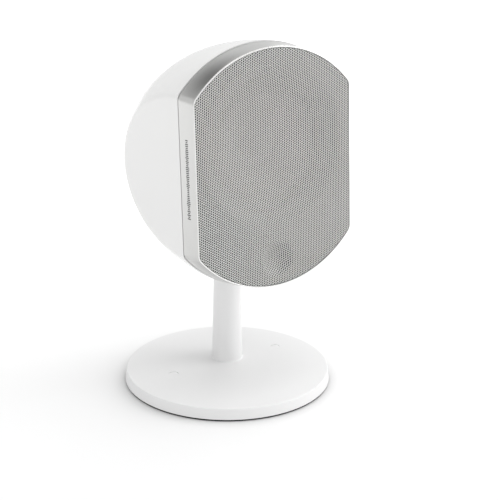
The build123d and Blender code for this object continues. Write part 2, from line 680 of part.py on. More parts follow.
def rear_shell():
    outer = shell_outer()
    inner_front = SHELL_FRONT + SHELL_FLANGE_THICKNESS
    hollow = egg(SHELL_RADIUS - SHELL_WALL, SHELL_SEMI_DEPTH - SHELL_WALL, SHELL_HALF_WIDTH - SHELL_WALL,
                    inner_front, SHELL_REAR_INNER)
    opening = outline(FRONT_OPENING_RADIUS, FRONT_OPENING_HALF_WIDTH, CORNER_RADIUS)
    body = outer - hollow - plate(opening, SHELL_FRONT, inner_front)
    for x, z in baffle_screw_places():
        body += disc(BAFFLE_BOSS_RADIUS, SHELL_FRONT, SHELL_FRONT + BAFFLE_BOSS_LENGTH, x, z) & outer
    for x, y in bracket_screw_places():
        body += rod(BRACKET_BOSS_RADIUS, -SHELL_RADIUS, BRACKET_LEVEL, x, y) & outer
    tip = BAFFLE_FRONT + BAFFLE_SCREW_LENGTH
    for x, z in baffle_screw_places():
        body -= disc(BAFFLE_SCREW_RADIUS, SHELL_FRONT, tip, x, z)
    for x, y in bracket_screw_places():
        low = BRACKET_LEVEL + BRACKET_THICKNESS - BRACKET_SCREW_LENGTH
        body -= rod(BAFFLE_SCREW_RADIUS, low, BRACKET_LEVEL, x, y)
    wide = BRACKET_HALF_WIDTH + BRACKET_SIDE_GAP
    back = BRACKET_BACK + BRACKET_SIDE_GAP
    body -= block(-wide, wide, BRACKET_FRONT, back, BRACKET_LEVEL, BRACKET_LEVEL + BRACKET_HEADROOM)
    body -= post_slot()
    body -= disc(TERMINAL_SEAT_RADIUS, TERMINAL_PLATE_INNER, SHELL_REAR)
    body -= disc(TERMINAL_HOLE_RADIUS, SHELL_REAR_INNER, SHELL_REAR)
    for x, z in around(TERMINAL_SCREW_COUNT, TERMINAL_SCREW_CIRCLE, TERMINAL_SCREW_START_ANGLE):
        body -= disc(TERMINAL_SCREW_RADIUS, SHELL_REAR_INNER, SHELL_REAR, x, z)
    return body


def shell_seal():
    radius = BEZEL_REAR_RADIUS - SHELL_SEAL_INSET
    edge = outline(radius, BEZEL_REAR_HALF_WIDTH - SHELL_SEAL_INSET, CORNER_RADIUS)
    seal = plate(edge, BEZEL_DEPTH, SHELL_FRONT)
    opening = outline(FRONT_OPENING_RADIUS, FRONT_OPENING_HALF_WIDTH, CORNER_RADIUS)
    seal -= plate(opening, BEZEL_DEPTH, SHELL_FRONT)
    for x, z in baffle_screw_places():
        seal -= disc(BAFFLE_SCREW_RADIUS, BEZEL_DEPTH, SHELL_FRONT, x, z)
    return seal


def front_bezel():
    rim = outline(RIM_RADIUS, RIM_HALF_WIDTH, CORNER_RADIUS)
    rear = outline(BEZEL_REAR_RADIUS, BEZEL_REAR_HALF_WIDTH, CORNER_RADIUS)
    body = loft([Plane.XZ * rim, Pos(0, BEZEL_DEPTH, 0) * (Plane.XZ * rear)])
    pocket = outline(GRILLE_RADIUS, GRILLE_HALF_WIDTH, CORNER_RADIUS - RIM_WIDTH)
    ledge_front = GRILLE_RECESS + GRILLE_THICKNESS
    ledge_back = ledge_front + LEDGE_THICKNESS
    inset = LEDGE_INSET
    ledge = outline(GRILLE_RADIUS - inset, GRILLE_HALF_WIDTH - inset, CORNER_RADIUS - inset)
    cavity = outline(RIM_RADIUS - BEZEL_WALL, RIM_HALF_WIDTH - BEZEL_WALL, CORNER_RADIUS - BEZEL_WALL)
    opening = outline(FRONT_OPENING_RADIUS, FRONT_OPENING_HALF_WIDTH, CORNER_RADIUS)
    body -= plate(pocket, 0, ledge_front)
    body -= plate(ledge, ledge_front, ledge_back)
    body -= plate(cavity, ledge_back, BEZEL_FLANGE_FRONT)
    body -= plate(opening, BEZEL_FLANGE_FRONT, BEZEL_DEPTH)
    for x, z in baffle_screw_places():
        body -= disc(BAFFLE_SCREW_RADIUS, BEZEL_FLANGE_FRONT, BEZEL_DEPTH, x, z)
    return body


def grille():
    """The flush metal grille, pressed into a wide dish and a small one; its perforation isn't cut."""
    gap = GRILLE_EDGE_GAP
    edge = outline(GRILLE_RADIUS - gap, GRILLE_HALF_WIDTH - gap, CORNER_RADIUS - RIM_WIDTH - gap)
    front = GRILLE_RECESS
    back = front + GRILLE_THICKNESS
    body = plate(edge, front, back)
    dishes = (
        (WOOFER_DISH_RADIUS, WOOFER_DISH_SAG, WOOFER_HEIGHT),
        (TWEETER_DISH_RADIUS, TWEETER_DISH_SAG, TWEETER_HEIGHT),
    )
    for radius, sag, z in dishes:
        body -= disc(radius, front, back, 0, z)
        body += turned(Curve(dish_profile(radius, sag, front, GRILLE_THICKNESS)), z)
    return body


# ---------------------------------------------------------------- baffle
def baffle_edge():
    inset = BEZEL_WALL + BAFFLE_EDGE_GAP
    return outline(RIM_RADIUS - inset, RIM_HALF_WIDTH - inset, CORNER_RADIUS - inset)


def woofer_screw_places():
    return [(x, z + WOOFER_HEIGHT) for x, z in around(WOOFER_SCREW_COUNT, WOOFER_SCREW_CIRCLE)]


def tweeter_screw_places():
    return [(x, z + TWEETER_HEIGHT) for x, z in around(TWEETER_SCREW_COUNT, TWEETER_SCREW_CIRCLE)]


def baffle():
    body = plate(baffle_edge(), BAFFLE_FRONT, BAFFLE_BACK)
    body -= disc(WOOFER_HOLE_RADIUS, BAFFLE_FRONT, BAFFLE_BACK, 0, WOOFER_HEIGHT)
    body -= disc(TWEETER_HOLE_RADIUS, BAFFLE_FRONT, BAFFLE_BACK, 0, TWEETER_HEIGHT)
    for x, z in baffle_screw_places() + woofer_screw_places():
        body -= disc(BAFFLE_SCREW_RADIUS, BAFFLE_FRONT, BAFFLE_BACK, x, z)
    for x, z in tweeter_screw_places():
        body -= disc(TWEETER_SCREW_RADIUS, BAFFLE_FRONT, BAFFLE_BACK, x, z)
    return body


def baffle_gasket():
    seal = plate(baffle_edge(), BAFFLE_BACK, BEZEL_FLANGE_FRONT)
    opening = outline(FRONT_OPENING_RADIUS, FRONT_OPENING_HALF_WIDTH, CORNER_RADIUS)
    seal -= plate(opening, BAFFLE_BACK, BEZEL_FLANGE_FRONT)
    for x, z in baffle_screw_places():
        seal -= disc(BAFFLE_SCREW_RADIUS, BAFFLE_BACK, BEZEL_FLANGE_FRONT, x, z)
    return seal


def screw_group(places, face, head_radius, head_height, radius, length):
    """Round-headed screws driven towards the back, their heads standing on one face."""
    screws = []
    for x, z in places:
        head = disc(head_radius, face - head_height, face, x, z)
        screws.append(head + disc(radius, face, face + length, x, z))
    return joined(screws)


def baffle_screws():
    return screw_group(baffle_screw_places(), BAFFLE_FRONT, BAFFLE_SCREW_HEAD_RADIUS,
                       BAFFLE_SCREW_HEAD_HEIGHT, BAFFLE_SCREW_RADIUS, BAFFLE_SCREW_LENGTH)


# ---------------------------------------------------------------- woofer
def woofer_basket():
    """Flange, tapering frame with windows, and the seat for the magnet."""
    mouth = BASKET_MOUTH_RADIUS
    neck = BASKET_NECK_RADIUS
    wall = BASKET_WALL
    inner = SURROUND_ROLL_OUTER + SURROUND_SEAT_GAP
    corners = [
        (inner, WOOFER_FLANGE_FRONT), (WOOFER_FLANGE_RADIUS, WOOFER_FLANGE_FRONT),
        (WOOFER_FLANGE_RADIUS, WOOFER_FLANGE_BACK), (mouth, WOOFER_FLANGE_BACK),
        (mouth, WOOFER_FLANGE_BACK + wall), (neck, BASKET_NECK), (neck, BASKET_END),
        (GAP_RADIUS, BASKET_END), (GAP_RADIUS, BASKET_END - wall), (neck - wall, BASKET_END - wall),
        (neck - wall, BASKET_NECK), (inner, WOOFER_FLANGE_BACK + wall),
    ]
    body = turned_corners(corners)
    window_depth = (WOOFER_FLANGE_BACK + BASKET_NECK) / 2 + wall
    for i in range(BASKET_WINDOW_COUNT):
        turn = Rot(0, 360 * (i + 0.5) / BASKET_WINDOW_COUNT, 0)
        outward = (Align.CENTER, Align.CENTER, Align.MIN)
        drill = Cylinder(BASKET_WINDOW_RADIUS, WOOFER_FLANGE_RADIUS, align=outward)
        body -= turn * Pos(0, window_depth, 0) * drill
    body = Pos(0, 0, WOOFER_HEIGHT) * body
    for x, z in woofer_screw_places():
        body -= disc(WOOFER_SCREW_RADIUS, WOOFER_FLANGE_FRONT, WOOFER_FLANGE_BACK, x, z)
    return body


def woofer_gasket():
    radius, hole = WOOFER_FLANGE_RADIUS, WOOFER_HOLE_RADIUS
    seal = ring(radius, hole, WOOFER_FLANGE_BACK, BAFFLE_FRONT, 0, WOOFER_HEIGHT)
    for x, z in woofer_screw_places():
        seal -= disc(WOOFER_SCREW_RADIUS, WOOFER_FLANGE_BACK, BAFFLE_FRONT, x, z)
    return seal


def woofer_screws():
    return screw_group(woofer_screw_places(), WOOFER_FLANGE_FRONT, WOOFER_SCREW_HEAD_RADIUS,
                       WOOFER_SCREW_HEAD_HEIGHT, WOOFER_SCREW_RADIUS, WOOFER_SCREW_LENGTH)


def half_roll(outer, inner, front, rise, thickness):
    """The half-round roll of a surround, between two radii, standing towards the front."""
    middle = (outer + inner) / 2
    face = front - thickness
    return [
        Line((outer, front), (outer, face)),
        ThreePointArc((outer, face), (middle, face - rise), (inner, face)),
        Line((inner, face), (inner, front)),
        ThreePointArc((inner, front), (middle, front - rise), (outer, front)),
    ]


def woofer_surround():
    front = WOOFER_FLANGE_FRONT
    thick = SURROUND_THICKNESS
    roll = half_roll(SURROUND_ROLL_OUTER, SURROUND_ROLL_INNER, front, SURROUND_ROLL_HEIGHT, thick)
    body = turned(Curve(roll)) + ring(SURROUND_OUTER_RADIUS, SURROUND_ROLL_OUTER, front - thick, front)
    body += ring(SURROUND_ROLL_INNER, SURROUND_INNER_RADIUS, front - thick, front)
    return Pos(0, 0, WOOFER_HEIGHT) * body


def woofer_cone():
    thick = CONE_THICKNESS
    corners = [
        (SURROUND_ROLL_INNER, CONE_RIM), (SURROUND_ROLL_INNER, CONE_RIM + thick),
        (FORMER_RADIUS + thick, CONE_NECK + thick), (FORMER_RADIUS, CONE_NECK + thick),
        (FORMER_RADIUS, CONE_NECK), (SURROUND_INNER_RADIUS, CONE_RIM),
    ]
    return turned_corners(corners, WOOFER_HEIGHT)


def dust_cap_seat():
    """The depth at which the dust cap's edge meets the cone's face."""
    share = (SURROUND_INNER_RADIUS - DUST_CAP_RADIUS) / (SURROUND_INNER_RADIUS - FORMER_RADIUS)
    return CONE_RIM + CONE_DEPTH * share


def woofer_dust_cap():
    seat = dust_cap_seat() - CONE_THICKNESS
    radius = DUST_CAP_RADIUS
    half = radius / 2
    sphere = cap_arc(radius, DUST_CAP_RISE)
    middle = DUST_CAP_RISE - (sphere - sqrt(sphere * sphere - half * half))
    back = seat + CONE_THICKNESS
    edges = [
        ThreePointArc((radius, seat), (half, seat - middle), (0, seat - DUST_CAP_RISE)),
        Line((0, seat - DUST_CAP_RISE), (0, back - DUST_CAP_RISE)),
        ThreePointArc((0, back - DUST_CAP_RISE), (half, back - middle), (radius, back)),
        Line((radius, back), (radius, seat)),
    ]
    return turned(Curve(edges), WOOFER_HEIGHT)


def coil_back():
    return CONE_NECK + FORMER_LENGTH


def voice_coil_former():
    return ring(FORMER_RADIUS, FORMER_INNER_RADIUS, CONE_NECK, coil_back(), 0, WOOFER_HEIGHT)


def voice_coil():
    front = coil_back() - VOICE_COIL_LENGTH
    return ring(VOICE_COIL_RADIUS, FORMER_RADIUS, front, coil_back(), 0, WOOFER_HEIGHT)


def woofer_spider():
    """The corrugated cloth disc that centres the voice coil."""
    inner = FORMER_RADIUS + SPIDER_BORE_GAP
    outer = BASKET_NECK_RADIUS - BASKET_WALL
    rest = BASKET_NECK + SPIDER_WAVE_HEIGHT
    face = []
    for i in range(SPIDER_STEPS + 1):
        share = i / SPIDER_STEPS
        wave = SPIDER_WAVE_HEIGHT * sin(2 * pi * SPIDER_WAVES * share)
        face.append((inner + (outer - inner) * share, rest + wave))
    back = [(r, d + SPIDER_THICKNESS) for r, d in reversed(face)]
    return turned_corners(face + back, WOOFER_HEIGHT)


def woofer_top_plate():
    return ring(TOP_PLATE_RADIUS, GAP_RADIUS, BASKET_END, MAGNET_FRONT, 0, WOOFER_HEIGHT)


def woofer_magnet():
    return ring(MAGNET_RADIUS, MAGNET_BORE_RADIUS, MAGNET_FRONT, MAGNET_BACK, 0, WOOFER_HEIGHT)


def woofer_pole_plate():
    back = MAGNET_BACK + BACK_PLATE_THICKNESS
    body = disc(TOP_PLATE_RADIUS, MAGNET_BACK, back, 0, WOOFER_HEIGHT)
    body += disc(POLE_RADIUS, BASKET_END, back, 0, WOOFER_HEIGHT)
    return body - disc(POLE_VENT_RADIUS, BASKET_END, back, 0, WOOFER_HEIGHT)


def woofer_tag_strip():
    width, depth, height = TAG_STRIP_SIZE
    front = BASKET_NECK + (BASKET_SEAT_LENGTH - depth) / 2
    neck = BASKET_NECK_RADIUS
    strip = block(-width / 2, width / 2, front, front + depth, neck - CUT_OVERRUN, neck + height)
    return Pos(0, 0, WOOFER_HEIGHT) * (strip - disc(neck, front, front + depth))


# ---------------------------------------------------------------- tweeter
def tweeter_faceplate():
    radius = TWEETER_PLATE_RADIUS
    mouth = TWEETER_MOUTH_RADIUS
    front = TWEETER_PLATE_FRONT
    corners = [
        (mouth, BAFFLE_FRONT), (mouth, DOME_RIM), (mouth + DOME_SEAT, front),
        (radius, front), (radius, BAFFLE_FRONT),
    ]
    body = turned_corners(corners, TWEETER_HEIGHT)
    for x, z in tweeter_screw_places():
        body -= disc(TWEETER_SCREW_RADIUS, front, BAFFLE_FRONT, x, z)
    return body


def tweeter_screws():
    return screw_group(tweeter_screw_places(), TWEETER_PLATE_FRONT, TWEETER_SCREW_HEAD_RADIUS,
                       TWEETER_SCREW_HEAD_HEIGHT, TWEETER_SCREW_RADIUS, TWEETER_SCREW_LENGTH)


def tweeter_surround():
    thick = DOME_THICKNESS
    rise = (TWEETER_MOUTH_RADIUS - DOME_RADIUS) / 2
    roll = half_roll(TWEETER_MOUTH_RADIUS, DOME_RADIUS, DOME_RIM + thick, rise, thick)
    return turned(Curve(roll), TWEETER_HEIGHT)


def tweeter_dome():
    """The inverted dome, dished towards the back."""
    return turned(Curve(dish_profile(DOME_RADIUS, DOME_SAG, DOME_RIM, DOME_THICKNESS)), TWEETER_HEIGHT)


def tweeter_coil():
    dished = DOME_SAG * (1 - (TWEETER_COIL_INNER / DOME_RADIUS) ** 2)
    front = DOME_RIM + DOME_THICKNESS + dished
    return ring(DOME_RADIUS, TWEETER_COIL_INNER, front, front + TWEETER_COIL_LENGTH, 0, TWEETER_HEIGHT)


def tweeter_cup():
    floor = CUP_BACK - TWEETER_CUP_FLOOR
    body = disc(TWEETER_CUP_RADIUS, BAFFLE_FRONT, CUP_BACK, 0, TWEETER_HEIGHT)
    return body - disc(TWEETER_CUP_INNER, BAFFLE_FRONT, floor, 0, TWEETER_HEIGHT)


def tweeter_magnet():
    back = CUP_BACK - TWEETER_CUP_FLOOR
    return disc(TWEETER_MAGNET_RADIUS, back - TWEETER_MAGNET_THICKNESS, back, 0, TWEETER_HEIGHT)


def tweeter_pole():
    back = CUP_BACK - TWEETER_CUP_FLOOR - TWEETER_MAGNET_THICKNESS
    return disc(TWEETER_POLE_RADIUS, back - TWEETER_POLE_THICKNESS, back, 0, TWEETER_HEIGHT)


def tweeter_rear_chamber():
    back = CUP_BACK + CHAMBER_LENGTH
    body = disc(TWEETER_CUP_RADIUS, CUP_BACK, back, 0, TWEETER_HEIGHT)
    inner = TWEETER_CUP_RADIUS - CHAMBER_WALL
    return body - disc(inner, CUP_BACK, back - CHAMBER_WALL, 0, TWEETER_HEIGHT)


# ---------------------------------------------------------------- crossover
def board_places():
    return [(sx * SPACER_X, sz * SPACER_Z) for sx in (-1, 1) for sz in (-1, 1)]


def crossover_board():
    width, height = BOARD_SIZE
    body = block(-width / 2, width / 2, BOARD_FRONT, SPACER_FRONT, -height / 2, height / 2)
    for x, z in board_places():
        body -= disc(BOARD_SCREW_RADIUS, BOARD_FRONT, SPACER_FRONT, x, z)
    return body


def board_spacers():
    tip = BOARD_FRONT + BOARD_SCREW_LENGTH
    spacers = []
    for x, z in board_places():
        spacer = disc(SPACER_RADIUS, SPACER_FRONT, SHELL_REAR_INNER, x, z)
        spacers.append(spacer - disc(BOARD_SCREW_RADIUS, SPACER_FRONT, tip, x, z))
    return joined(spacers)


def board_screws():
    return screw_group(board_places(), BOARD_FRONT, BOARD_SCREW_HEAD_RADIUS, BOARD_SCREW_HEAD_HEIGHT,
                       BOARD_SCREW_RADIUS, BOARD_SCREW_LENGTH)


def crossover_inductors():
    return joined(ring(radius, INDUCTOR_CORE_RADIUS, BOARD_FRONT - height, BOARD_FRONT, x, z)
                  for x, z, radius, height in INDUCTORS)


def crossover_capacitors():
    can = Rot(0, 90, 0) * Cylinder(CAPACITOR_RADIUS, CAPACITOR_LENGTH)
    depth = BOARD_FRONT - CAPACITOR_RADIUS
    return joined(Pos(side * CAPACITOR_X, depth, CAPACITOR_Z) * can for side in (-1, 1))


def crossover_resistor():
    width, depth, height = RESISTOR_SIZE
    return block(-width / 2, width / 2, BOARD_FRONT - depth, BOARD_FRONT, RESISTOR_Z - height / 2,
                 RESISTOR_Z + height / 2)


# ---------------------------------------------------------------- terminals
def terminal_screw_places():
    return around(TERMINAL_SCREW_COUNT, TERMINAL_SCREW_CIRCLE, TERMINAL_SCREW_START_ANGLE)


def terminal_plate():
    """The round plate in the back with a recess for the wire terminals."""
    width, height = TERMINAL_BOX
    wall = TERMINAL_BOX_WALL
    body = disc(TERMINAL_PLATE_RADIUS, TERMINAL_PLATE_INNER, TERMINAL_FACE)
    box = block(-width / 2, width / 2, RECESS_BACK, TERMINAL_PLATE_INNER, -height / 2, height / 2)
    body += box & disc(TERMINAL_BODY_RADIUS, RECESS_BACK, TERMINAL_PLATE_INNER)
    recess = block(wall - width / 2, width / 2 - wall, RECESS_FLOOR, TERMINAL_FACE, wall - height / 2,
                   height / 2 - wall)
    body -= recess & disc(TERMINAL_BODY_RADIUS - wall, RECESS_FLOOR, TERMINAL_FACE)
    for side in (-1, 1):
        body -= disc(WIRE_BORE_RADIUS + WIRE_BORE_CLEARANCE, RECESS_BACK, RECESS_FLOOR, side * TERMINAL_X,
                     WIRE_BORE_Z)
    for x, z in terminal_screw_places():
        body -= disc(TERMINAL_SCREW_RADIUS, TERMINAL_PLATE_INNER, TERMINAL_FACE, x, z)
    return body


def terminal_screws():
    screws = []
    for x, z in terminal_screw_places():
        top = TERMINAL_FACE + TERMINAL_SCREW_HEAD_HEIGHT
        head = disc(TERMINAL_SCREW_HEAD_RADIUS, TERMINAL_FACE, top, x, z)
        shank = disc(TERMINAL_SCREW_RADIUS, TERMINAL_FACE - TERMINAL_SCREW_LENGTH, TERMINAL_FACE, x, z)
        screws.append(head + shank)
    return joined(screws)


def lever_span(side):
    """The lowest and highest X of one lever."""
    centre = side * TERMINAL_X
    return centre - LEVER_WIDTH / 2, centre + LEVER_WIDTH / 2


def terminal_block():
    """The black insert in the recess: wire bores below, and ears that hold the levers above."""
    width, height = TERMINAL_BOX
    wall = TERMINAL_BOX_WALL
    half_width = width / 2 - wall
    half_height = height / 2 - wall
    reach = disc(TERMINAL_BODY_RADIUS - wall, RECESS_FLOOR, TERMINAL_FACE)
    floor = RECESS_FLOOR + BLOCK_FLOOR
    face = RECESS_FLOOR + BLOCK_FACE
    ear_back = LEVER_PIVOT_DEPTH + LEVER_LUG_RADIUS + EAR_BACK_WALL
    body = block(-half_width, half_width, RECESS_FLOOR, floor, -half_height, half_height)
    body += block(-half_width, half_width, floor, face, WIRE_BOSS_BOTTOM, WIRE_BOSS_TOP)
    body += block(-half_width, half_width, floor, ear_back, EAR_BLOCK_BOTTOM, EAR_BLOCK_TOP)
    for side in (-1, 1):
        x0, x1 = lever_span(side)
        gap = LEVER_SIDE_GAP
        body -= block(x0 - gap, x1 + gap, floor, ear_back, EAR_BLOCK_BOTTOM, EAR_BLOCK_TOP)
        lug = Pos(side * TERMINAL_X, LEVER_PIVOT_DEPTH, LEVER_PIVOT_Z) * Rot(0, 90, 0)
        length = x1 - x0 + 2 * (LEVER_LUG_LENGTH + gap)
        body -= lug * Cylinder(LEVER_LUG_RADIUS + RUNNING_CLEARANCE, length)
        body -= disc(WIRE_BORE_RADIUS, RECESS_FLOOR, face, side * TERMINAL_X, WIRE_BORE_Z)
    return body & reach


def terminal_lever(side):
    """One push lever with its two pivot lugs."""
    x0, x1 = lever_span(side)
    front = LEVER_PIVOT_DEPTH - LEVER_THICKNESS / 2
    back = LEVER_PIVOT_DEPTH + LEVER_THICKNESS / 2
    paddle = block(x0, x1, front, back, LEVER_BOTTOM, LEVER_TOP)
    paddle = fillet(paddle.edges().filter_by(Axis.X), LEVER_THICKNESS / 4)
    lugs = Pos(side * TERMINAL_X, LEVER_PIVOT_DEPTH, LEVER_PIVOT_Z) * Rot(0, 90, 0)
    return paddle + lugs * Cylinder(LEVER_LUG_RADIUS, x1 - x0 + 2 * LEVER_LUG_LENGTH)


def terminal_lever_left():
    return terminal_lever(-1)


def terminal_lever_right():
    return terminal_lever(1)


def acoustic_wadding():
    body = Box(*WADDING_SIZE)
    return Pos(*WADDING_CENTRE) * fillet(body.edges(), WADDING_ROUND)


# ---------------------------------------------------------------- writing the nodes
STAND_NODES = (
    foot_pad, base_weight, base_cover, cover_screws, screw_hole_caps, post, post_plug, base_bolt,
    swivel_bush, swivel_stop_pin, swivel_washer, swivel_knuckle, swivel_retainer, swivel_screw,
)
HEAD_NODES = (
    pivot_bracket, bracket_screws, tilt_washers, pivot_bolt, pivot_nut,
    rear_shell, shell_seal, front_bezel, grille, baffle, baffle_gasket, baffle_screws,
    woofer_basket, woofer_gasket, woofer_screws, woofer_surround, woofer_cone, woofer_dust_cap,
    voice_coil_former, voice_coil, woofer_spider, woofer_top_plate, woofer_magnet, woofer_pole_plate,
    woofer_tag_strip,
    tweeter_faceplate, tweeter_screws, tweeter_surround, tweeter_dome, tweeter_coil, tweeter_cup,
    tweeter_magnet, tweeter_pole, tweeter_rear_chamber,
    crossover_board, board_spacers, board_screws, crossover_inductors, crossover_capacitors,
    crossover_resistor,
    terminal_plate, terminal_screws, terminal_block, terminal_lever_left, terminal_lever_right,
    acoustic_wadding,
)


def write(name, shape):
    export_step(shape, f"parts/{name}.step")


def main():
    os.makedirs("parts", exist_ok=True)
    for make in STAND_NODES:
        write(make.__name__, make())
    place = head_place()
    for make in HEAD_NODES:
        write(make.__name__, place * make())


main()
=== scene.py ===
"""A compact loudspeaker on a round stand: its finishes, grille, trim, floor, light and camera."""
import json
import logging
import math
from collections.abc import Iterable, Sequence
from dataclasses import dataclass, field
from enum import Enum
from typing import Any

import bmesh
import bpy
from mathutils import Matrix, Vector


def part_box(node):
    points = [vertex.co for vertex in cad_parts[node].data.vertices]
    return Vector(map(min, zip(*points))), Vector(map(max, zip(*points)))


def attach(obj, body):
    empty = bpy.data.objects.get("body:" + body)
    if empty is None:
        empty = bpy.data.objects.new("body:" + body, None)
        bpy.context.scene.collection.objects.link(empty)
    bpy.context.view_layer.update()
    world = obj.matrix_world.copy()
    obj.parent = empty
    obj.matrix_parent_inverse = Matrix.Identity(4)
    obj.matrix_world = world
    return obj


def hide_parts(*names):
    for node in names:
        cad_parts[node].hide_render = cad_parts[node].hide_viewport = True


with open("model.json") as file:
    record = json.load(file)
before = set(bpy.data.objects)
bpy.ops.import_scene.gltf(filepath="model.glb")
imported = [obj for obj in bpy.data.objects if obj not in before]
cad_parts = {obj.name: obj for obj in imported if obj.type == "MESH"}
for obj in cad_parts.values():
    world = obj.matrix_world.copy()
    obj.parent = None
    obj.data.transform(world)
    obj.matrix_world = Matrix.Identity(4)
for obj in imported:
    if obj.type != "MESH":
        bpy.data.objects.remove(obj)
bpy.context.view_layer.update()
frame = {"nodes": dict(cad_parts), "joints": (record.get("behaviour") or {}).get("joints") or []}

LOG = logging.getLogger("speaker")
MM = 0.001
Colour = tuple[float, float, float]
Settings = dict[str, Any]
Inputs = dict[str | int, Any]
Node = bpy.types.Node
Socket = bpy.types.NodeSocket
BLACK = (0.0, 0.0, 0.0)
WHITE = (1.0, 1.0, 1.0)


# ---------------------------------------------------------------- node trees
@dataclass(frozen=True)
class Number:
    """A number on a wire between nodes; Python's operators add the Math nodes."""

    graph: "Graph"
    socket: Socket

    def maths(self, operation: str, *values: "Number | float", clamp: bool = False) -> "Number":
        """Adds one Math node.

        Args:
            operation: The Math node's operation.
            *values: Its inputs in order.
            clamp: Whether the result is kept between 0 and 1.

        Returns:
            The node's result.
        """
        settings = {"operation": operation, "use_clamp": clamp}
        node = self.graph.node("ShaderNodeMath", settings, dict(enumerate(values)))
        return Number(self.graph, node.outputs[0])

    def __add__(self, other: "Number | float") -> "Number":
        """Sum."""
        return self.maths("ADD", self, other)

    def __radd__(self, other: float) -> "Number":
        """Reflected sum."""
        return self.maths("ADD", other, self)

    def __sub__(self, other: "Number | float") -> "Number":
        """Difference."""
        return self.maths("SUBTRACT", self, other)

    def __rsub__(self, other: float) -> "Number":
        """Reflected difference."""
        return self.maths("SUBTRACT", other, self)

    def __mul__(self, other: "Number | float") -> "Number":
        """Product."""
        return self.maths("MULTIPLY", self, other)

    def __rmul__(self, other: float) -> "Number":
        """Reflected product."""
        return self.maths("MULTIPLY", other, self)

    def __truediv__(self, other: "Number | float") -> "Number":
        """Quotient."""
        return self.maths("DIVIDE", self, other)

    def __rtruediv__(self, other: float) -> "Number":
        """Reflected quotient."""
        return self.maths("DIVIDE", other, self)

    def __pow__(self, other: "Number | float") -> "Number":
        """Power."""
        return self.maths("POWER", self, other)

    def __gt__(self, other: "Number | float") -> "Number":
        """1 where this is the greater, else 0."""
        return self.maths("GREATER_THAN", self, other)

    def __lt__(self, other: "Number | float") -> "Number":
        """1 where this is the smaller, else 0."""
        return self.maths("LESS_THAN", self, other)

    def clamped(self) -> "Number":
        """Kept between 0 and 1."""
        return self.maths("ADD", self, 0.0, clamp=True)

    def wave(self) -> "Number":
        """Its sine, moved to run from 0 to 1."""
        return self.maths("SINE", self) * 0.5 + 0.5


class Graph:
    """Writes one node tree, of a material, the world or Geometry Nodes."""

    def __init__(self, tree: bpy.types.NodeTree) -> None:
        """Keeps the tree that is written to."""
        self.tree = tree

    def node(self, kind: str, settings: Settings | None = None, inputs: Inputs | None = None) -> Node:
        """Adds one node of any type.

        Args:
            kind: The node's type.
            settings: Its properties, set first.
            inputs: Values, Numbers or sockets, by socket name or place.

        Returns:
            The node.
        """
        node = self.tree.nodes.new(kind)
        for name, value in (settings or {}).items():
            setattr(node, name, value)
        for key, value in (inputs or {}).items():
            self.feed(node, key, value)
        return node

    def feed(self, node: Node, key: str | int, value: Any) -> None:
        """Sets one socket of a node, or links it.

        Args:
            node: The node that is fed.
            key: The socket's name or place.
            value: A plain value, a Number or a socket; a list gives a joining socket several.
        """
        if isinstance(value, list):
            for part in value:
                self.feed(node, key, part)
            return
        source = value.socket if isinstance(value, Number) else value
        if isinstance(source, Socket):
            self.tree.links.new(source, node.inputs[key])
        else:
            node.inputs[key].default_value = source

    def number(self, kind: str, settings: Settings | None = None, inputs: Inputs | None = None,
               output: str | int = 0) -> Number:
        """Adds a node and wraps one of its outputs as a Number."""
        return Number(self, self.node(kind, settings, inputs).outputs[output])

    def vector(self, operation: str, *values: Any) -> Socket:
        """Adds one Vector Math node and gives its vector."""
        inputs = dict(enumerate(values))
        return self.node("ShaderNodeVectorMath", {"operation": operation}, inputs).outputs[0]

    def measure(self, operation: str, *values: Any) -> Number:
        """Adds one Vector Math node and gives its number."""
        inputs = dict(enumerate(values))
        return self.number("ShaderNodeVectorMath", {"operation": operation}, inputs, output=1)

    def along(self, place: Socket, axis: Sequence[float]) -> Number:
        """How far a place lies along an axis."""
        return self.measure("DOT_PRODUCT", place, axis)

    def blend(self, factor: Number | float, first: Any, second: Any) -> Socket:
        """Mixes two colours.

        Args:
            factor: 0 for the first colour, 1 for the second.
            first: A plain colour or a socket.
            second: A plain colour or a socket.

        Returns:
            The mixed colour.
        """
        ends = [value if isinstance(value, Socket) else (*value, 1.0) for value in (first, second)]
        node = self.node("ShaderNodeMix", {"data_type": "RGBA"}, {0: factor, 6: ends[0], 7: ends[1]})
        return node.outputs[2]

    def split(self, place: Any) -> tuple[Number, Number, Number]:
        """The three parts of a vector."""
        node = self.node("ShaderNodeSeparateXYZ", None, {0: place})
        return tuple(Number(self, output) for output in node.outputs)

    def position(self) -> tuple[Number, Number, Number]:
        """Where each point of the geometry lies."""
        return self.split(self.node("GeometryNodeInputPosition").outputs[0])

    def join(self, x: Any, y: Any, z: Any) -> Socket:
        """A vector from its three parts."""
        return self.node("ShaderNodeCombineXYZ", None, {0: x, 1: y, 2: z}).outputs[0]

    def noise(self, place: Any, size: float, detail: float = 2.0, rough: float = 0.5) -> Number:
        """Smooth noise with features of about the given size, in metres."""
        inputs = {"Vector": place, "Scale": 1 / size, "Detail": detail, "Roughness": rough}
        return self.number("ShaderNodeTexNoise", None, inputs)

    def cells(self, place: Any, size: float, feature: str = "F1") -> Number:
        """Distance within Voronoi cells of about the given size, in metres."""
        return self.number("ShaderNodeTexVoronoi", {"feature": feature}, {"Vector": place, "Scale": 1 / size})

    def bump(self, height: Number, distance: float, under: Any = None) -> Socket:
        """A bumped normal.

        Args:
            height: The relief from 0 to 1.
            distance: What a height of 1 stands for, in metres.
            under: A normal that the relief lies on, if any.

        Returns:
            The normal.
        """
        inputs = {"Strength": 1.0, "Distance": distance, "Height": height}
        if under is not None:
            inputs["Normal"] = under
        return self.node("ShaderNodeBump", None, inputs).outputs[0]


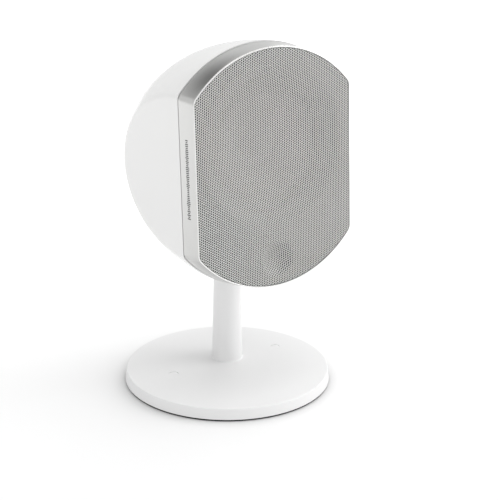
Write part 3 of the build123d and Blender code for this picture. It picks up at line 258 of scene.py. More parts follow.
SOCKET_TYPES = {
    float: "NodeSocketFloat",
    int: "NodeSocketInt",
    bpy.types.Object: "NodeSocketObject",
    bpy.types.Material: "NodeSocketMaterial",
}


class Recipe:
    """A Geometry Nodes tree with named inputs, evaluated into a plain mesh."""

    def __init__(self, name: str, values: dict[str, Any]) -> None:
        """Starts the tree.

        Args:
            name: The tree's name.
            values: The value of each named input, whose kind gives the input's type.
        """
        self.values = values
        self.tree = bpy.data.node_groups.new(name, "GeometryNodeTree")
        self.tree.interface.new_socket("Geometry", in_out="OUTPUT", socket_type="NodeSocketGeometry")
        for label, value in values.items():
            self.tree.interface.new_socket(label, in_out="INPUT", socket_type=SOCKET_TYPES[type(value)])
        self.graph = Graph(self.tree)
        self.entry = self.graph.node("NodeGroupInput")

    def given(self, label: str) -> Number:
        """One of the named inputs."""
        return Number(self.graph, self.entry.outputs[label])

    def end(self, geometry: Socket) -> None:
        """Ends the tree: instances made real, and the input named Finish set as the material.

        Args:
            geometry: What the tree has made.
        """
        real = self.graph.node("GeometryNodeRealizeInstances", None, {"Geometry": geometry})
        dressed = self.graph.node("GeometryNodeSetMaterial", None,
                                  {"Geometry": real.outputs[0], "Material": self.given("Finish")})
        self.graph.node("NodeGroupOutput", None, {"Geometry": dressed.outputs[0]})

    def make(self, name: str) -> bpy.types.Object:
        """Evaluates the tree.

        Args:
            name: The new piece's name.

        Returns:
            An object that holds the plain mesh, with no modifier left.
        """
        piece = new_object(name, bpy.data.meshes.new(name))
        modifier = piece.modifiers.new(self.tree.name, "NODES")
        modifier.node_group = self.tree
        for item in self.tree.interface.items_tree:
            if item.in_out == "INPUT":
                modifier[item.identifier] = self.values[item.name]
        evaluated = piece.evaluated_get(bpy.context.evaluated_depsgraph_get())
        mesh = bpy.data.meshes.new_from_object(evaluated)
        piece.modifiers.clear()
        piece.data = mesh
        mesh.name = name
        return piece


# ---------------------------------------------------------------- finishes
@dataclass(frozen=True)
class Finish:
    """How one kind of surface looks: its colour, its gloss and its real-scale detail."""

    name: str
    colour: Colour
    roughness: float

    def material(self) -> bpy.types.Material:
        """Gives the finish as a material, made when first asked for.

        Returns:
            The material.
        """
        known = bpy.data.materials.get(self.name)
        if known is not None:
            return known
        material = bpy.data.materials.new(self.name)
        material.use_nodes = True
        material.node_tree.nodes.clear()
        graph = Graph(material.node_tree)
        shader = graph.node("ShaderNodeBsdfPrincipled", None, self.constants())
        place = graph.node("ShaderNodeTexCoord").outputs["Object"]
        for name, value in self.dress(graph, place).items():
            graph.feed(shader, name, value)
        graph.node("ShaderNodeOutputMaterial", None, {"Surface": shader.outputs[0]})
        material.diffuse_color = (*self.colour, 1.0)
        return material

    def constants(self) -> Inputs:
        """The shader's values that are the same all over."""
        return {"Base Color": (*self.colour, 1.0), "Roughness": self.roughness}

    def dress(self, graph: Graph, place: Socket) -> Inputs:
        """Makes what varies over the surface.

        Args:
            graph: The material's tree.
            place: The object's own coordinates.

        Returns:
            The shader's inputs that vary.
        """
        raise NotImplementedError

    def shade(self, factor: float) -> Colour:
        """The finish's colour, darker or lighter."""
        return tuple(min(1.0, part * factor) for part in self.colour)


@dataclass(frozen=True)
class Lacquer(Finish):
    """Sprayed lacquer on moulded plastic or metal, with orange peel and faint handling marks."""

    peel_size: float = 1.7 * MM
    peel_height: float = 0.0016 * MM
    grain_size: float = 0.22 * MM
    grain_height: float = 0.0008 * MM
    marks: float = 0.05
    coat: float = 0.0
    drift_size: float = 55 * MM
    drift_shade: float = 0.985
    smear_size: float = 14 * MM

    def constants(self) -> Inputs:
        """Adds the clear coat."""
        return {**super().constants(), "Coat Weight": self.coat, "Coat Roughness": 0.06, "IOR": 1.48}

    def dress(self, graph: Graph, place: Socket) -> Inputs:
        """Peel and grain in the normal, handling marks in the roughness, a faint drift of tone.

        Args:
            graph: The material's tree.
            place: The object's own coordinates.

        Returns:
            The shader's inputs that vary.
        """
        drift = graph.noise(place, self.drift_size)
        smear = graph.noise(place, self.smear_size, 4.0, 0.6)
        fine = graph.noise(place, self.grain_size, 1.0)
        peel = graph.bump(graph.noise(place, self.peel_size), self.peel_height)
        return {"Base Color": graph.blend(drift, self.shade(self.drift_shade), self.colour),
                "Roughness": smear * self.marks + (self.roughness - self.marks / 2),
                "Normal": graph.bump(fine, self.grain_height, peel)}


class Grain(Enum):
    """How a metal surface was worked."""

    BLASTED = "blasted"
    BRUSHED = "brushed"
    POLISHED = "polished"
    CAST = "cast"


@dataclass(frozen=True)
class Metal(Finish):
    """Worked metal: bead blasted, brushed round an axis, polished or cast."""

    grain: Grain = Grain.BLASTED
    grain_size: float = 0.25 * MM
    grain_height: float = 0.002 * MM
    axis: tuple[float, float, float] = (0.0, -1.0, 0.0)
    metallic: float = 1.0
    tarnish: float = 0.06
    tarnish_size: float = 32 * MM
    brush_stretch: float = 60.0

    def constants(self) -> Inputs:
        """Adds the metal's share."""
        return {**super().constants(), "Metallic": self.metallic}

    def relief(self, graph: Graph, place: Socket) -> Number:
        """The tool marks, from 0 to 1.

        Args:
            graph: The material's tree.
            place: The object's own coordinates.

        Returns:
            Their relief.
        """
        if self.grain is Grain.BRUSHED:
            lines = graph.along(place, self.axis) / self.grain_size
            stretched = graph.vector("SCALE", place)
            stretched.node.inputs["Scale"].default_value = 1 / (self.brush_stretch * self.grain_size)
            brushed = graph.vector("ADD", stretched, graph.join(lines, lines, lines))
            return graph.noise(brushed, 1.0, 3.0, 0.65)
        if self.grain is Grain.CAST:
            return graph.noise(place, self.grain_size * 4, 3.0, 0.7)
        return graph.noise(place, self.grain_size, 2.0)

    def dress(self, graph: Graph, place: Socket) -> Inputs:
        """Tool marks in the normal and the gloss, and a slow drift of tone.

        Args:
            graph: The material's tree.
            place: The object's own coordinates.

        Returns:
            The shader's inputs that vary.
        """
        relief = self.relief(graph, place)
        drift = graph.noise(place, self.tarnish_size, 3.0)
        dull, bright = self.shade(1 - self.tarnish), self.shade(1 + self.tarnish / 2)
        return {"Base Color": graph.blend(drift, dull, bright),
                "Roughness": self.roughness + (relief - 0.5) * 0.12 + (drift - 0.5) * 0.06,
                "Normal": graph.bump(relief, self.grain_height)}


@dataclass(frozen=True)
class Rubber(Finish):
    """Moulded rubber: dull, finely pitted, a little dusty."""

    pit_size: float = 0.35 * MM
    pit_height: float = 0.02 * MM
    dust: float = 0.25
    dust_size: float = 9 * MM
    dust_colour: Colour = (0.16, 0.155, 0.15)

    def dress(self, graph: Graph, place: Socket) -> Inputs:
        """Pits in the normal, dust in the colour and the gloss.

        Args:
            graph: The material's tree.
            place: The object's own coordinates.

        Returns:
            The shader's inputs that vary.
        """
        pits = graph.noise(place, self.pit_size, 3.0, 0.6)
        dust = (graph.noise(place, self.dust_size, 5.0, 0.7) - 0.5).clamped() * self.dust * 4
        return {"Base Color": graph.blend(dust.clamped(), self.colour, self.dust_colour),
                "Roughness": (self.roughness + dust * 0.15).clamped(),
                "Normal": graph.bump(pits, self.pit_height)}


@dataclass(frozen=True)
class MouldedPlastic(Finish):
    """Bare moulded plastic with a spark-eroded texture and slight flow marks."""

    texture_size: float = 0.3 * MM
    texture_height: float = 0.012 * MM
    flow_size: float = 18 * MM

    def dress(self, graph: Graph, place: Socket) -> Inputs:
        """Texture in the normal, flow marks in the tone and the gloss.

        Args:
            graph: The material's tree.
            place: The object's own coordinates.

        Returns:
            The shader's inputs that vary.
        """
        texture = graph.cells(place, self.texture_size)
        flow = graph.noise(place, self.flow_size, 2.0)
        return {"Base Color": graph.blend(flow, self.shade(0.9), self.shade(1.12)),
                "Roughness": self.roughness + (flow - 0.5) * 0.12,
                "Normal": graph.bump(texture, self.texture_height)}


@dataclass(frozen=True)
class Foam(Finish):
    """Open-cell foam or fibre wadding: pores of a given size and strands between them."""

    pore_size: float = 0.9 * MM
    depth: float = 0.35 * MM

    def dress(self, graph: Graph, place: Socket) -> Inputs:
        """Pores in the normal, and painted shade in the colour: the pores darker, as shade falls in them.

        Args:
            graph: The material's tree.
            place: The object's own coordinates.

        Returns:
            The shader's inputs that vary.
        """
        pores = graph.cells(place, self.pore_size)
        strands = graph.noise(place, self.pore_size * 0.4, 4.0, 0.8)
        relief = pores * 0.7 + strands * 0.3
        # Painted shade: the colour follows the relief, darkest in the pores.
        return {"Base Color": graph.blend(relief.clamped(), self.shade(0.55), self.shade(1.1)),
                "Normal": graph.bump(relief, self.depth)}


@dataclass(frozen=True)
class Pulp(Finish):
    """Pressed paper pulp with fibres lying every way."""

    fibre_size: float = 0.5 * MM
    fibre_height: float = 0.06 * MM
    fibre_stretch: float = 9.0

    def dress(self, graph: Graph, place: Socket) -> Inputs:
        """Fibres from noise pulled out along three directions.

        Args:
            graph: The material's tree.
            place: The object's own coordinates.

        Returns:
            The shader's inputs that vary.
        """
        layers = []
        for turn in ((0.3, 0.1, 1.0), (1.0, 0.2, 0.4), (-0.6, 0.3, 0.8)):
            pulled = graph.node("ShaderNodeMapping", {"vector_type": "TEXTURE"},
                                {"Vector": place, "Rotation": turn, "Scale": (1.0, self.fibre_stretch, 1.0)})
            layers.append(graph.noise(pulled.outputs[0], self.fibre_size, 3.0, 0.6))
        fibres = (layers[0] + layers[1] + layers[2]) / 3
        contrast = (fibres * 2.4 - 0.7).clamped()
        return {"Base Color": graph.blend(contrast, self.shade(0.6), self.shade(1.5)),
                "Roughness": self.roughness + (fibres - 0.5) * 0.2,
                "Normal": graph.bump(fibres, self.fibre_height)}


@dataclass(frozen=True)
class Weave(Finish):
    """Stiffened plain-woven cloth."""

    thread: float = 0.45 * MM
    thread_height: float = 0.07 * MM
    worn_size: float = 3 * MM

    def dress(self, graph: Graph, place: Socket) -> Inputs:
        """Warp and weft as two crossed waves; the colour is painted darker where the threads dip, as their
        shade.

        Args:
            graph: The material's tree.
            place: The object's own coordinates.

        Returns:
            The shader's inputs that vary.
        """
        x, _, z = graph.split(place)
        turns = 2 * math.pi / self.thread
        warp = (x * turns).wave()
        weft = (z * turns).wave()
        relief = warp.maths("MAXIMUM", warp, weft)
        worn = graph.noise(place, self.worn_size, 3.0)
        # Painted shade: darker between the threads, lighter on their crowns, varied by a slow noise.
        return {"Base Color": graph.blend(relief * worn, self.shade(0.5), self.shade(1.15)),
                "Normal": graph.bump(relief, self.thread_height)}


@dataclass(frozen=True)
class Winding(Finish):
    """Enamelled copper wire, wound turn beside turn about an axis."""

    wire: float = 0.3 * MM
    axis: tuple[float, float, float] = (0.0, -1.0, 0.0)
    turn_height: float = 0.1 * MM
    uneven_size: float = 2.5 * MM

    def constants(self) -> Inputs:
        """Copper under clear enamel."""
        return {**super().constants(), "Metallic": 1.0, "Coat Weight": 0.6, "Coat Roughness": 0.1}

    def dress(self, graph: Graph, place: Socket) -> Inputs:
        """Turns as a wave along the axis, each a little different; the grooves between turns are painted
        darker, as their shade.

        Args:
            graph: The material's tree.
            place: The object's own coordinates.

        Returns:
            The shader's inputs that vary.
        """
        turns = graph.along(place, self.axis) * (2 * math.pi / self.wire)
        relief = turns.wave()
        uneven = graph.noise(place, self.uneven_size, 2.0)
        # Painted shade: the colour is darkest in the grooves between turns.
        return {"Base Color": graph.blend(relief * 0.7 + uneven * 0.3, self.shade(0.45), self.shade(1.1)),
                "Roughness": self.roughness + uneven * 0.15,
                "Normal": graph.bump(relief, self.turn_height)}


@dataclass(frozen=True)
class CircuitBoard(Finish):
    """Lacquered glass fibre board with tracks and a fine weave showing through."""

    track: float = 2.4 * MM
    gap: float = 0.35 * MM
    weave: float = 0.6 * MM
    track_height: float = 0.035 * MM
    track_colour: Colour = (0.05, 0.22, 0.07)

    def dress(self, graph: Graph, place: Socket) -> Inputs:
        """Tracks as the borders of straight-sided blocks.

        Args:
            graph: The material's tree.
            place: The object's own coordinates.

        Returns:
            The shader's inputs that vary.
        """
        x, _, z = graph.split(place)
        sizes = {"Scale": 1.0, "Brick Width": 5 * self.track, "Row Height": self.track,
                 "Mortar Size": self.gap, "Mortar Smooth": 0.1, "Bias": 0.0, "Vector": graph.join(x, z, 0.0)}
        track = graph.number("ShaderNodeTexBrick", None, sizes, output="Fac")
        turns = 2 * math.pi / self.weave
        weave = (x * turns).wave() * (z * turns).wave()
        tone = graph.blend(weave, self.shade(0.75), self.colour)
        return {"Base Color": graph.blend(track, tone, self.track_colour),
                "Roughness": self.roughness - track * 0.08,
                "Normal": graph.bump(track * 0.8 + weave * 0.2, self.track_height)}


SHELL_WHITE = Lacquer("gloss_white_lacquer", (0.83, 0.83, 0.825), 0.24, coat=0.35)
STAND_WHITE = Lacquer("satin_white_lacquer", (0.83, 0.83, 0.83), 0.42, peel_height=0.004 * MM,
                      grain_height=0.003 * MM, marks=0.08)
BEZEL_SATIN = Metal("satin_aluminium", (0.62, 0.62, 0.61), 0.30, Grain.BRUSHED, 0.05 * MM, 0.0012 * MM)
BEZEL_POLISHED = Metal("polished_aluminium", (0.84, 0.84, 0.83), 0.16, Grain.POLISHED, 0.4 * MM,
                       0.0002 * MM)
GRILLE_SILVER = Metal("silver_painted_steel", (0.69, 0.695, 0.675), 0.36,
                      Grain.BLASTED, 0.12 * MM, 0.003 * MM, metallic=0.8)
PRINT_GREY = MouldedPlastic("grey_print", (0.05, 0.05, 0.05), 0.5, 0.15 * MM, 0.002 * MM)
FINISHES = {
    "shell_white": SHELL_WHITE,
    "stand_white": STAND_WHITE,
    "bezel_silver": BEZEL_SATIN,
    "grille_silver": GRILLE_SILVER,
    "rubber_black": Rubber("moulded_rubber", (0.022, 0.022, 0.022), 0.78),
    "foam_black": Foam("closed_cell_foam", (0.03, 0.03, 0.03), 0.95, 0.4 * MM, 0.08 * MM),
    "plastic_black": MouldedPlastic("textured_black_plastic", (0.03, 0.03, 0.032), 0.48),
    "plastic_white": MouldedPlastic("textured_white_plastic", (0.82, 0.82, 0.82), 0.42),
    "lever_red": MouldedPlastic("red_lever_plastic", (0.55, 0.02, 0.018), 0.38),
    "lever_black": MouldedPlastic("black_lever_plastic", (0.02, 0.02, 0.02), 0.38),
    "steel": Metal("zinc_plated_steel", (0.62, 0.63, 0.64), 0.32, Grain.BRUSHED, 0.08 * MM, 0.002 * MM),
    "screw_black": Metal("black_oxide_steel", (0.03, 0.03, 0.032), 0.45, Grain.CAST, 0.15 * MM, 0.004 * MM,
                         metallic=0.4),
    "iron": Metal("blackened_iron", (0.12, 0.12, 0.125), 0.5, Grain.CAST, 0.25 * MM, 0.02 * MM),
    "basket_metal": Metal("painted_basket_steel", (0.05, 0.05, 0.052), 0.45, Grain.CAST, 0.3 * MM, 0.015 * MM,
                          metallic=0.3),
    "paper_cone": Pulp("pressed_pulp", (0.045, 0.045, 0.048), 0.8),
    "spider_cloth": Weave("stiffened_weave", (0.52, 0.36, 0.13), 0.85),
    "coil_copper": Winding("enamelled_copper", (0.72, 0.33, 0.16), 0.28),
    "nylon": MouldedPlastic("natural_nylon", (0.72, 0.70, 0.62), 0.4),
    "board_green": CircuitBoard("circuit_board", (0.02, 0.12, 0.045), 0.35),
    "wadding": Foam("fibre_wadding", (0.72, 0.72, 0.70), 1.0, 2.2 * MM, 0.9 * MM),
    "dome_metal": Metal("dark_coated_dome", (0.04, 0.04, 0.043), 0.35, Grain.POLISHED, 0.3 * MM, 0.0006 * MM,
                        metallic=0.5),
}


# ---------------------------------------------------------------- shapes
def new_object(name: str, data: Any) -> bpy.types.Object:
    """Puts a new object in the scene.

    Args:
        name: The object's name.
        data: Its mesh, light or camera data.

    Returns:
        The object.
    """
    made = bpy.data.objects.new(name, data)
    bpy.context.scene.collection.objects.link(made)
    return made


def drawn_object(name: str, vertices: Sequence[Any], faces: Sequence[Sequence[int]]) -> bpy.types.Object:
    """Puts a new mesh in the scene, drawn from its corners and faces."""
    mesh = bpy.data.meshes.new(name)
    mesh.from_pydata(vertices, [], faces)
    return new_object(name, mesh)


@dataclass(frozen=True)
class Outline:
    """A circle cut flat at both sides, its four corners rounded."""

    radius: float
    half_width: float
    corner: float
    arc_steps: int = 64
    corner_steps: int = 10
    side_steps: int = 24

    def inset(self, amount: float) -> "Outline":
        """The outline that lies this far inside."""
        return Outline(self.radius - amount, self.half_width - amount, max(self.corner - amount, 0.2 * MM))

    def points(self) -> list[Vector]:
        """Points round the outline, anticlockwise as seen from in front.

        Returns:
            Each point's place across and up.
        """
        across = self.half_width - self.corner
        up = math.sqrt((self.radius - self.corner) ** 2 - across ** 2)
        lean = math.atan2(up, across)
        points = []
        for turn in (0, math.pi):
            sign = math.cos(turn)
            points += self._arc(sign * across, sign * up, self.corner, turn, turn + lean, self.corner_steps)
            points += self._arc(0, 0, self.radius, turn + lean, turn + math.pi - lean, self.arc_steps)
            points += self._arc(-sign * across, sign * up, self.corner, turn + math.pi - lean, turn + math.pi,
                                self.corner_steps)
            points += [Vector((-sign * self.half_width, sign * up * (1 - 2 * i / self.side_steps)))
                       for i in range(self.side_steps)]
        return points

    @staticmethod
    def _arc(x: float, y: float, radius: float, start: float, end: float, steps: int) -> list[Vector]:
        """Points on an arc, without its last."""
        angles = [start + (end - start) * i / steps for i in range(steps)]
        return [Vector((x + radius * math.cos(angle), y + radius * math.sin(angle))) for angle in angles]


@dataclass(frozen=True)
class HeadSpace:
    """The head's own axes: across, up its face and out of its face, from the middle of the front rim."""

    matrix: Matrix

    @classmethod
    def from_frame(cls) -> "HeadSpace":
        """Reads the axes from the woofer's travel and the bezel's place.

        Returns:
            The head's axes.
        """
        travel = next(joint for joint in frame["joints"] if joint["name"] == "woofer_travel")
        outward = Vector(travel["axis"]).normalized()
        across = Vector((1.0, 0.0, 0.0))
        up = outward.cross(across)
        corners = [vertex.co for vertex in frame["nodes"]["front_bezel"].data.vertices]
        heights = [co.dot(up) for co in corners]
        front = max(co.dot(outward) for co in corners)
        origin = outward * front + up * (min(heights) + max(heights)) / 2
        matrix = Matrix((across, up, outward)).transposed().to_4x4()
        return cls(Matrix.Translation(origin) @ matrix)

    def places(self, node: str) -> list[Vector]:
        """The corners of a CAD node's mesh in the head's axes."""
        inverse = self.matrix.inverted()
        return [inverse @ vertex.co for vertex in frame["nodes"][node].data.vertices]

    def span(self, node: str) -> tuple[Vector, Vector]:
        """A CAD node's lowest and highest corner in the head's axes.

        Args:
            node: The node's name.

        Returns:
            The two corners, each across, up and outward.
        """
        places = self.places(node)
        low = Vector(min(place[i] for place in places) for i in range(3))
        high = Vector(max(place[i] for place in places) for i in range(3))
        return low, high

    def settle(self, piece: bpy.types.Object) -> None:
        """Moves a mesh drawn in the head's axes to its place."""
        piece.data.transform(self.matrix)
        piece.data.update()


def lofted_ring(name: str, stations: Sequence[tuple[Outline, float]]) -> bpy.types.Object:
    """Joins outlines at several depths into one closed ring.

    Args:
        name: The piece's name.
        stations: Each outline with its depth behind the front, in order round the ring's section.

    Returns:
        The piece, drawn in the head's axes, its faces in rows of one station each.
    """
    loops = [[(point.x, point.y, -depth) for point in outline.points()] for outline, depth in stations]
    count = len(loops[0])
    vertices = [vertex for loop in loops for vertex in loop]
    faces = []
    for row in range(len(loops)):
        after = (row + 1) % len(loops)
        for i in range(count):
            j = (i + 1) % count
            faces.append((row * count + i, row * count + j, after * count + j, after * count + i))
    piece = drawn_object(name, vertices, faces)
    face_outwards(piece.data)
    return piece


def face_outwards(mesh: bpy.types.Mesh) -> None:
    """Turns a closed mesh's faces outwards.

    Args:
        mesh: The mesh, changed in place.
    """
    work = bmesh.new()
    work.from_mesh(mesh)
    bmesh.ops.recalc_face_normals(work, faces=work.faces)
    work.to_mesh(mesh)
    work.free()


def smooth(mesh: bpy.types.Mesh, crease_degrees: float = 32.0) -> None:
    """Shades a mesh smoothly, with its sharp edges kept."""
    mesh.shade_smooth()
    mesh.set_sharp_from_angle(angle=math.radians(crease_degrees))


# ---------------------------------------------------------------- head
@dataclass
class Bezel:
    """The satin aluminium band round the face, with a polished front edge and a black inside, partly a gasket
    and partly painted shade.
    """

    space: HeadSpace
    rim_inset: float = 1.8 * MM
    rim_side_inset: float = 1.2 * MM
    corner: float = 9.0 * MM
    pocket_inset: float = 1.15 * MM
    pocket_side_inset: float = 0.85 * MM
    ledge_depth: float = 0.8 * MM
    ledge_inset: float = 4.0 * MM
    ledge_thickness: float = 2.0 * MM
    wall: float = 1.7 * MM
    flange_thickness: float = 1.6 * MM
    opening_radius: float = 91.7 * MM
    opening_half_width: float = 66.0 * MM
    edge_round: float = 0.35 * MM
    rear_round: float = 0.35 * MM
    inner_round: float = 0.15 * MM
    band_shares: tuple[float, ...] = (0.9, 0.75, 0.6, 0.45, 0.3, 0.15)

    def rear(self) -> Outline:
        """The outline at the back, read from the CAD bezel."""
        low, high = self.space.span("front_bezel")
        return Outline((high.y - low.y) / 2, (high.x - low.x) / 2, self.corner)

    def rim(self) -> Outline:
        """The outline of the front edge."""
        rear = self.rear()
        return Outline(rear.radius - self.rim_inset, rear.half_width - self.rim_side_inset, self.corner)

    def pocket(self) -> Outline:
        """The outline that the grille drops into."""
        rim = self.rim()
        return Outline(rim.radius - self.pocket_inset, rim.half_width - self.pocket_side_inset,
                       self.corner - self.pocket_side_inset)

    def depth(self) -> float:
        """From the front edge to the back of the band."""
        low, high = self.space.span("front_bezel")
        return high.z - low.z

    def section(self) -> list[tuple[Finish, list[tuple[Outline, float]]]]:
        """The band's section from the back, over the front edge and down inside.

        Returns:
            Runs of one finish each, with outlines and their depths behind the front edge.
        """
        rear, rim, pocket = self.rear(), self.rim(), self.pocket()
        depth, lip = self.depth(), self.inner_round
        cavity = rim.inset(self.wall)
        opening = Outline(self.opening_radius, self.opening_half_width, self.corner)
        ledge = pocket.inset(self.ledge_inset)
        ledge_back = self.ledge_depth + self.ledge_thickness
        flange = depth - self.flange_thickness
        rear_edge = [(rear.inset(self.rear_round * (1 - math.sin(angle))),
                      depth - self.rear_round * (1 - math.cos(angle)))
                     for angle in (0.0, math.pi / 4, math.pi / 2)]
        band = [(self._between(rim, rear, self._crown(share)),
                 self.edge_round + (depth - self.edge_round - self.rear_round) * share)
                for share in self.band_shares]
        front_edge = [(rim.inset(self.edge_round * (1 - math.cos(angle))),
                       self.edge_round * (1 - math.sin(angle)))
                      for angle in (0.0, math.pi / 6, math.pi / 3, math.pi / 2)]
        inner_edge = [(pocket.inset(-lip), 0.0), (pocket.inset(-lip * 0.3), lip * 0.3)]
        inside = [(pocket, lip), (pocket, self.ledge_depth), (ledge, self.ledge_depth), (ledge, ledge_back),
                  (cavity, ledge_back), (cavity, flange), (opening, flange), (opening, depth)]
        # The inside is black foam: a gasket strip, and painted shade for the dark ring seen under the
        # grille's edge.
        return [(BEZEL_SATIN, rear_edge + band), (BEZEL_POLISHED, front_edge + inner_edge),
                (FINISHES["foam_black"], inside)]

    def side_at(self, depth: float) -> float:
        """How far out the band's side lies at a depth behind the front edge.

        Args:
            depth: The depth behind the front edge.

        Returns:
            The distance from the head's middle.
        """
        run = self.depth() - self.edge_round - self.rear_round
        share = (depth - self.edge_round) / run
        return self._between(self.rim(), self.rear(), self._crown(share)).half_width

    @staticmethod
    def _crown(share: float) -> float:
        """The band's swell from the front edge to the back."""
        return 1 - (1 - share) ** 2

    @staticmethod
    def _between(first: Outline, second: Outline, share: float) -> Outline:
        """An outline between two others."""
        return Outline(first.radius + (second.radius - first.radius) * share,
                       first.half_width + (second.half_width - first.half_width) * share, first.corner)

    def build(self) -> bpy.types.Object:
        """Makes the band and dresses it.

        Returns:
            The band.
        """
        runs = self.section()
        piece = lofted_ring("bezel_band", [station for _, stations in runs for station in stations])
        rows = [place for place, (_, stations) in enumerate(runs) for _ in stations]
        count = len(piece.data.polygons) // len(rows)
        for finish, _ in runs:
            piece.data.materials.append(finish.material())
        for face in piece.data.polygons:
            face.material_index = rows[face.index // count]
        self.space.settle(piece)
        smooth(piece.data)
        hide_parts("front_bezel")
        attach(piece, "head")
        return piece


COLUMN_STEP = math.sqrt(0.75)
CELL_REACH = 1 / math.sqrt(3)
HEXAGON_FOR_CIRCLE = math.sqrt(math.pi / (1.5 * math.sqrt(3)))


@dataclass
class Grille:
    """The pressed metal grille: a lattice of small holes over a wide dish and a small one.

    The lattice's columns lie COLUMN_STEP pitches apart, a cell's corners lie CELL_REACH pitches from its
    middle, and a six-sided hole of HEXAGON_FOR_CIRCLE times a round one's radius is as large as that.
    """

    space: HeadSpace
    pocket: Outline
    edge_gap: float = 0.35 * MM
    recess: float = 0.3 * MM
    thickness: float = 0.5 * MM
    pitch: float = 1.95 * MM
    hole: float = 1.6 * MM
    woofer_height: float = 18.5 * MM
    woofer_radius: float = 65.5 * MM
    woofer_sag: float = 6.2 * MM
    tweeter_height: float = -75.5 * MM
    tweeter_radius: float = 15.0 * MM
    tweeter_sag: float = 4.2 * MM
    soft: float = 0.8 * MM
    lattice_margin: float = 0.6
    past_edge: float = 0.001 * MM
    weld: float = 0.01 * MM
    sliver_width: float = 0.02 * MM
    sliver_area: float = 1e-8

    def sheet(self) -> Outline:
        """The sheet's own edge."""
        return self.pocket.inset(self.edge_gap)

    @staticmethod
    def _stencil(name: str, outline: Outline) -> bpy.types.Object:
        """A flat face of one outline, which the tree measures from.

        Args:
            name: The stencil's name.
            outline: Its edge, round the middle.

        Returns:
            The stencil, a fan of triangles.
        """
        points = [(point.x, point.y, 0.0) for point in outline.points()]
        count = len(points)
        fan = [(i, (i + 1) % count, count) for i in range(count)]
        return drawn_object(name, [*points, (0.0, 0.0, 0.0)], fan)

    @staticmethod
    def _nearest(recipe: Recipe, shape: str) -> tuple[Socket, Number]:
        """The nearest place on a stencil to each point, and how far off it is.

        Args:
            recipe: The tree.
            shape: The name of the stencil's input.

        Returns:
            The place and the distance.
        """
        graph = recipe.graph
        x, y, _ = graph.position()
        target = graph.node("GeometryNodeObjectInfo", None, {"Object": recipe.given(shape)})
        near = graph.node("GeometryNodeProximity", {"target_element": "FACES"},
                          {0: target.outputs["Geometry"], "Sample Position": graph.join(x, y, 0.0)})
        return near.outputs["Position"], Number(graph, near.outputs["Distance"])

    def _lattice(self, recipe: Recipe) -> Socket:
        """Points a pitch apart, every second column half a pitch higher, near the sheet only.

        Args:
            recipe: The tree.

        Returns:
            The points.
        """
        graph = recipe.graph
        pitch, columns, rows = recipe.given("Pitch"), recipe.given("Columns"), recipe.given("Rows")
        step = pitch * COLUMN_STEP
        sizes = {"Size X": (columns - 1) * step, "Size Y": (rows - 1) * pitch,
                 "Vertices X": columns, "Vertices Y": rows}
        grid = graph.node("GeometryNodeMeshGrid", None, sizes)
        x, _, _ = graph.position()
        count = x / step + (columns - 1) / 2
        column = count.maths("ROUND", count)
        odd = column.maths("MODULO", column, 2.0)
        moved = graph.node("GeometryNodeSetPosition", None,
                           {"Geometry": grid.outputs["Mesh"],
                            "Offset": graph.join(0.0, odd * pitch * 0.5, 0.0)})
        _, off = self._nearest(recipe, "Sheet")
        near = graph.node("GeometryNodeDeleteGeometry", {"domain": "POINT"},
                          {"Geometry": moved.outputs[0], "Selection": off > pitch * self.lattice_margin})
        return near.outputs[0]

    @staticmethod
    def _holed_cell(recipe: Recipe, reach: Number) -> Socket:
        """A six-sided cell with a hole through it and the hole's wall.

        Args:
            recipe: The tree.
            reach: From the cell's middle to its corners.

        Returns:
            The cell.
        """
        graph = recipe.graph
        hole = recipe.given("Hole Radius")
        ring = graph.node("GeometryNodeMeshCircle", {"fill_type": "NONE"}, {"Vertices": 6, "Radius": hole})
        wall = graph.node("GeometryNodeExtrudeMesh", {"mode": "EDGES"},
                          {"Mesh": ring.outputs[0],
                           "Offset": graph.join(0.0, 0.0, recipe.given("Thickness"))})
        face = graph.node("GeometryNodeExtrudeMesh", {"mode": "EDGES"},
                          {"Mesh": wall.outputs["Mesh"], "Selection": wall.outputs["Top"],
                           "Offset Scale": 0.0})
        x, y, z = graph.position()
        spread = reach / hole
        wide = graph.node("GeometryNodeSetPosition", None,
                          {"Geometry": face.outputs["Mesh"], "Selection": face.outputs["Top"],
                           "Position": graph.join(x * spread, y * spread, z)})
        level = graph.node("GeometryNodeTransform", None,
                           {"Geometry": wide.outputs[0],
                            "Translation": graph.join(0.0, 0.0, 0.0 - recipe.given("Thickness"))})
        return level.outputs[0]

    def _dish(self, recipe: Recipe, name: str) -> Number:
        """How deep one dish is under each point, softened at its edge.

        Args:
            recipe: The tree.
            name: The dish's name in the inputs.

        Returns:
            The depth.
        """
        graph = recipe.graph
        x, y, _ = graph.position()
        radius, sag = recipe.given(f"{name} Radius"), recipe.given(f"{name} Sag")
        sphere = (radius * radius + sag * sag) / (sag * 2)
        up = y - recipe.given(f"{name} Height")
        square = sphere * sphere - x * x - up * up
        square = square.maths("MAXIMUM", square, 0.0)
        depth = square.maths("SQRT", square) - (sphere - sag)
        return depth.maths("SMOOTH_MAX", depth, 0.0, recipe.given("Soft"))

    def recipe(self, values: dict[str, Any]) -> Recipe:
        """The tree that perforates, trims and presses the sheet.

        Args:
            values: The value of each named input.

        Returns:
            The tree.
        """
        recipe = Recipe("perforated_sheet", values)
        graph = recipe.graph
        points = self._lattice(recipe)
        reach = recipe.given("Pitch") * CELL_REACH
        cells = graph.node("GeometryNodeInstanceOnPoints", None,
                           {"Points": points, "Instance": self._holed_cell(recipe, reach)})
        real = graph.node("GeometryNodeRealizeInstances", None, {"Geometry": cells.outputs[0]})
        weld = graph.node("GeometryNodeMergeByDistance", None,
                          {"Geometry": real.outputs[0], "Distance": self.weld})
        edged = self._edge(recipe, self._trim(recipe, weld.outputs[0]))
        x, y, z = graph.position()
        low = z - recipe.given("Recess") - self._dish(recipe, "Woofer") - self._dish(recipe, "Tweeter")
        pressed = graph.node("GeometryNodeSetPosition", None,
                             {"Geometry": edged, "Position": graph.join(x, y, low)})
        recipe.end(pressed.outputs[0])
        return recipe

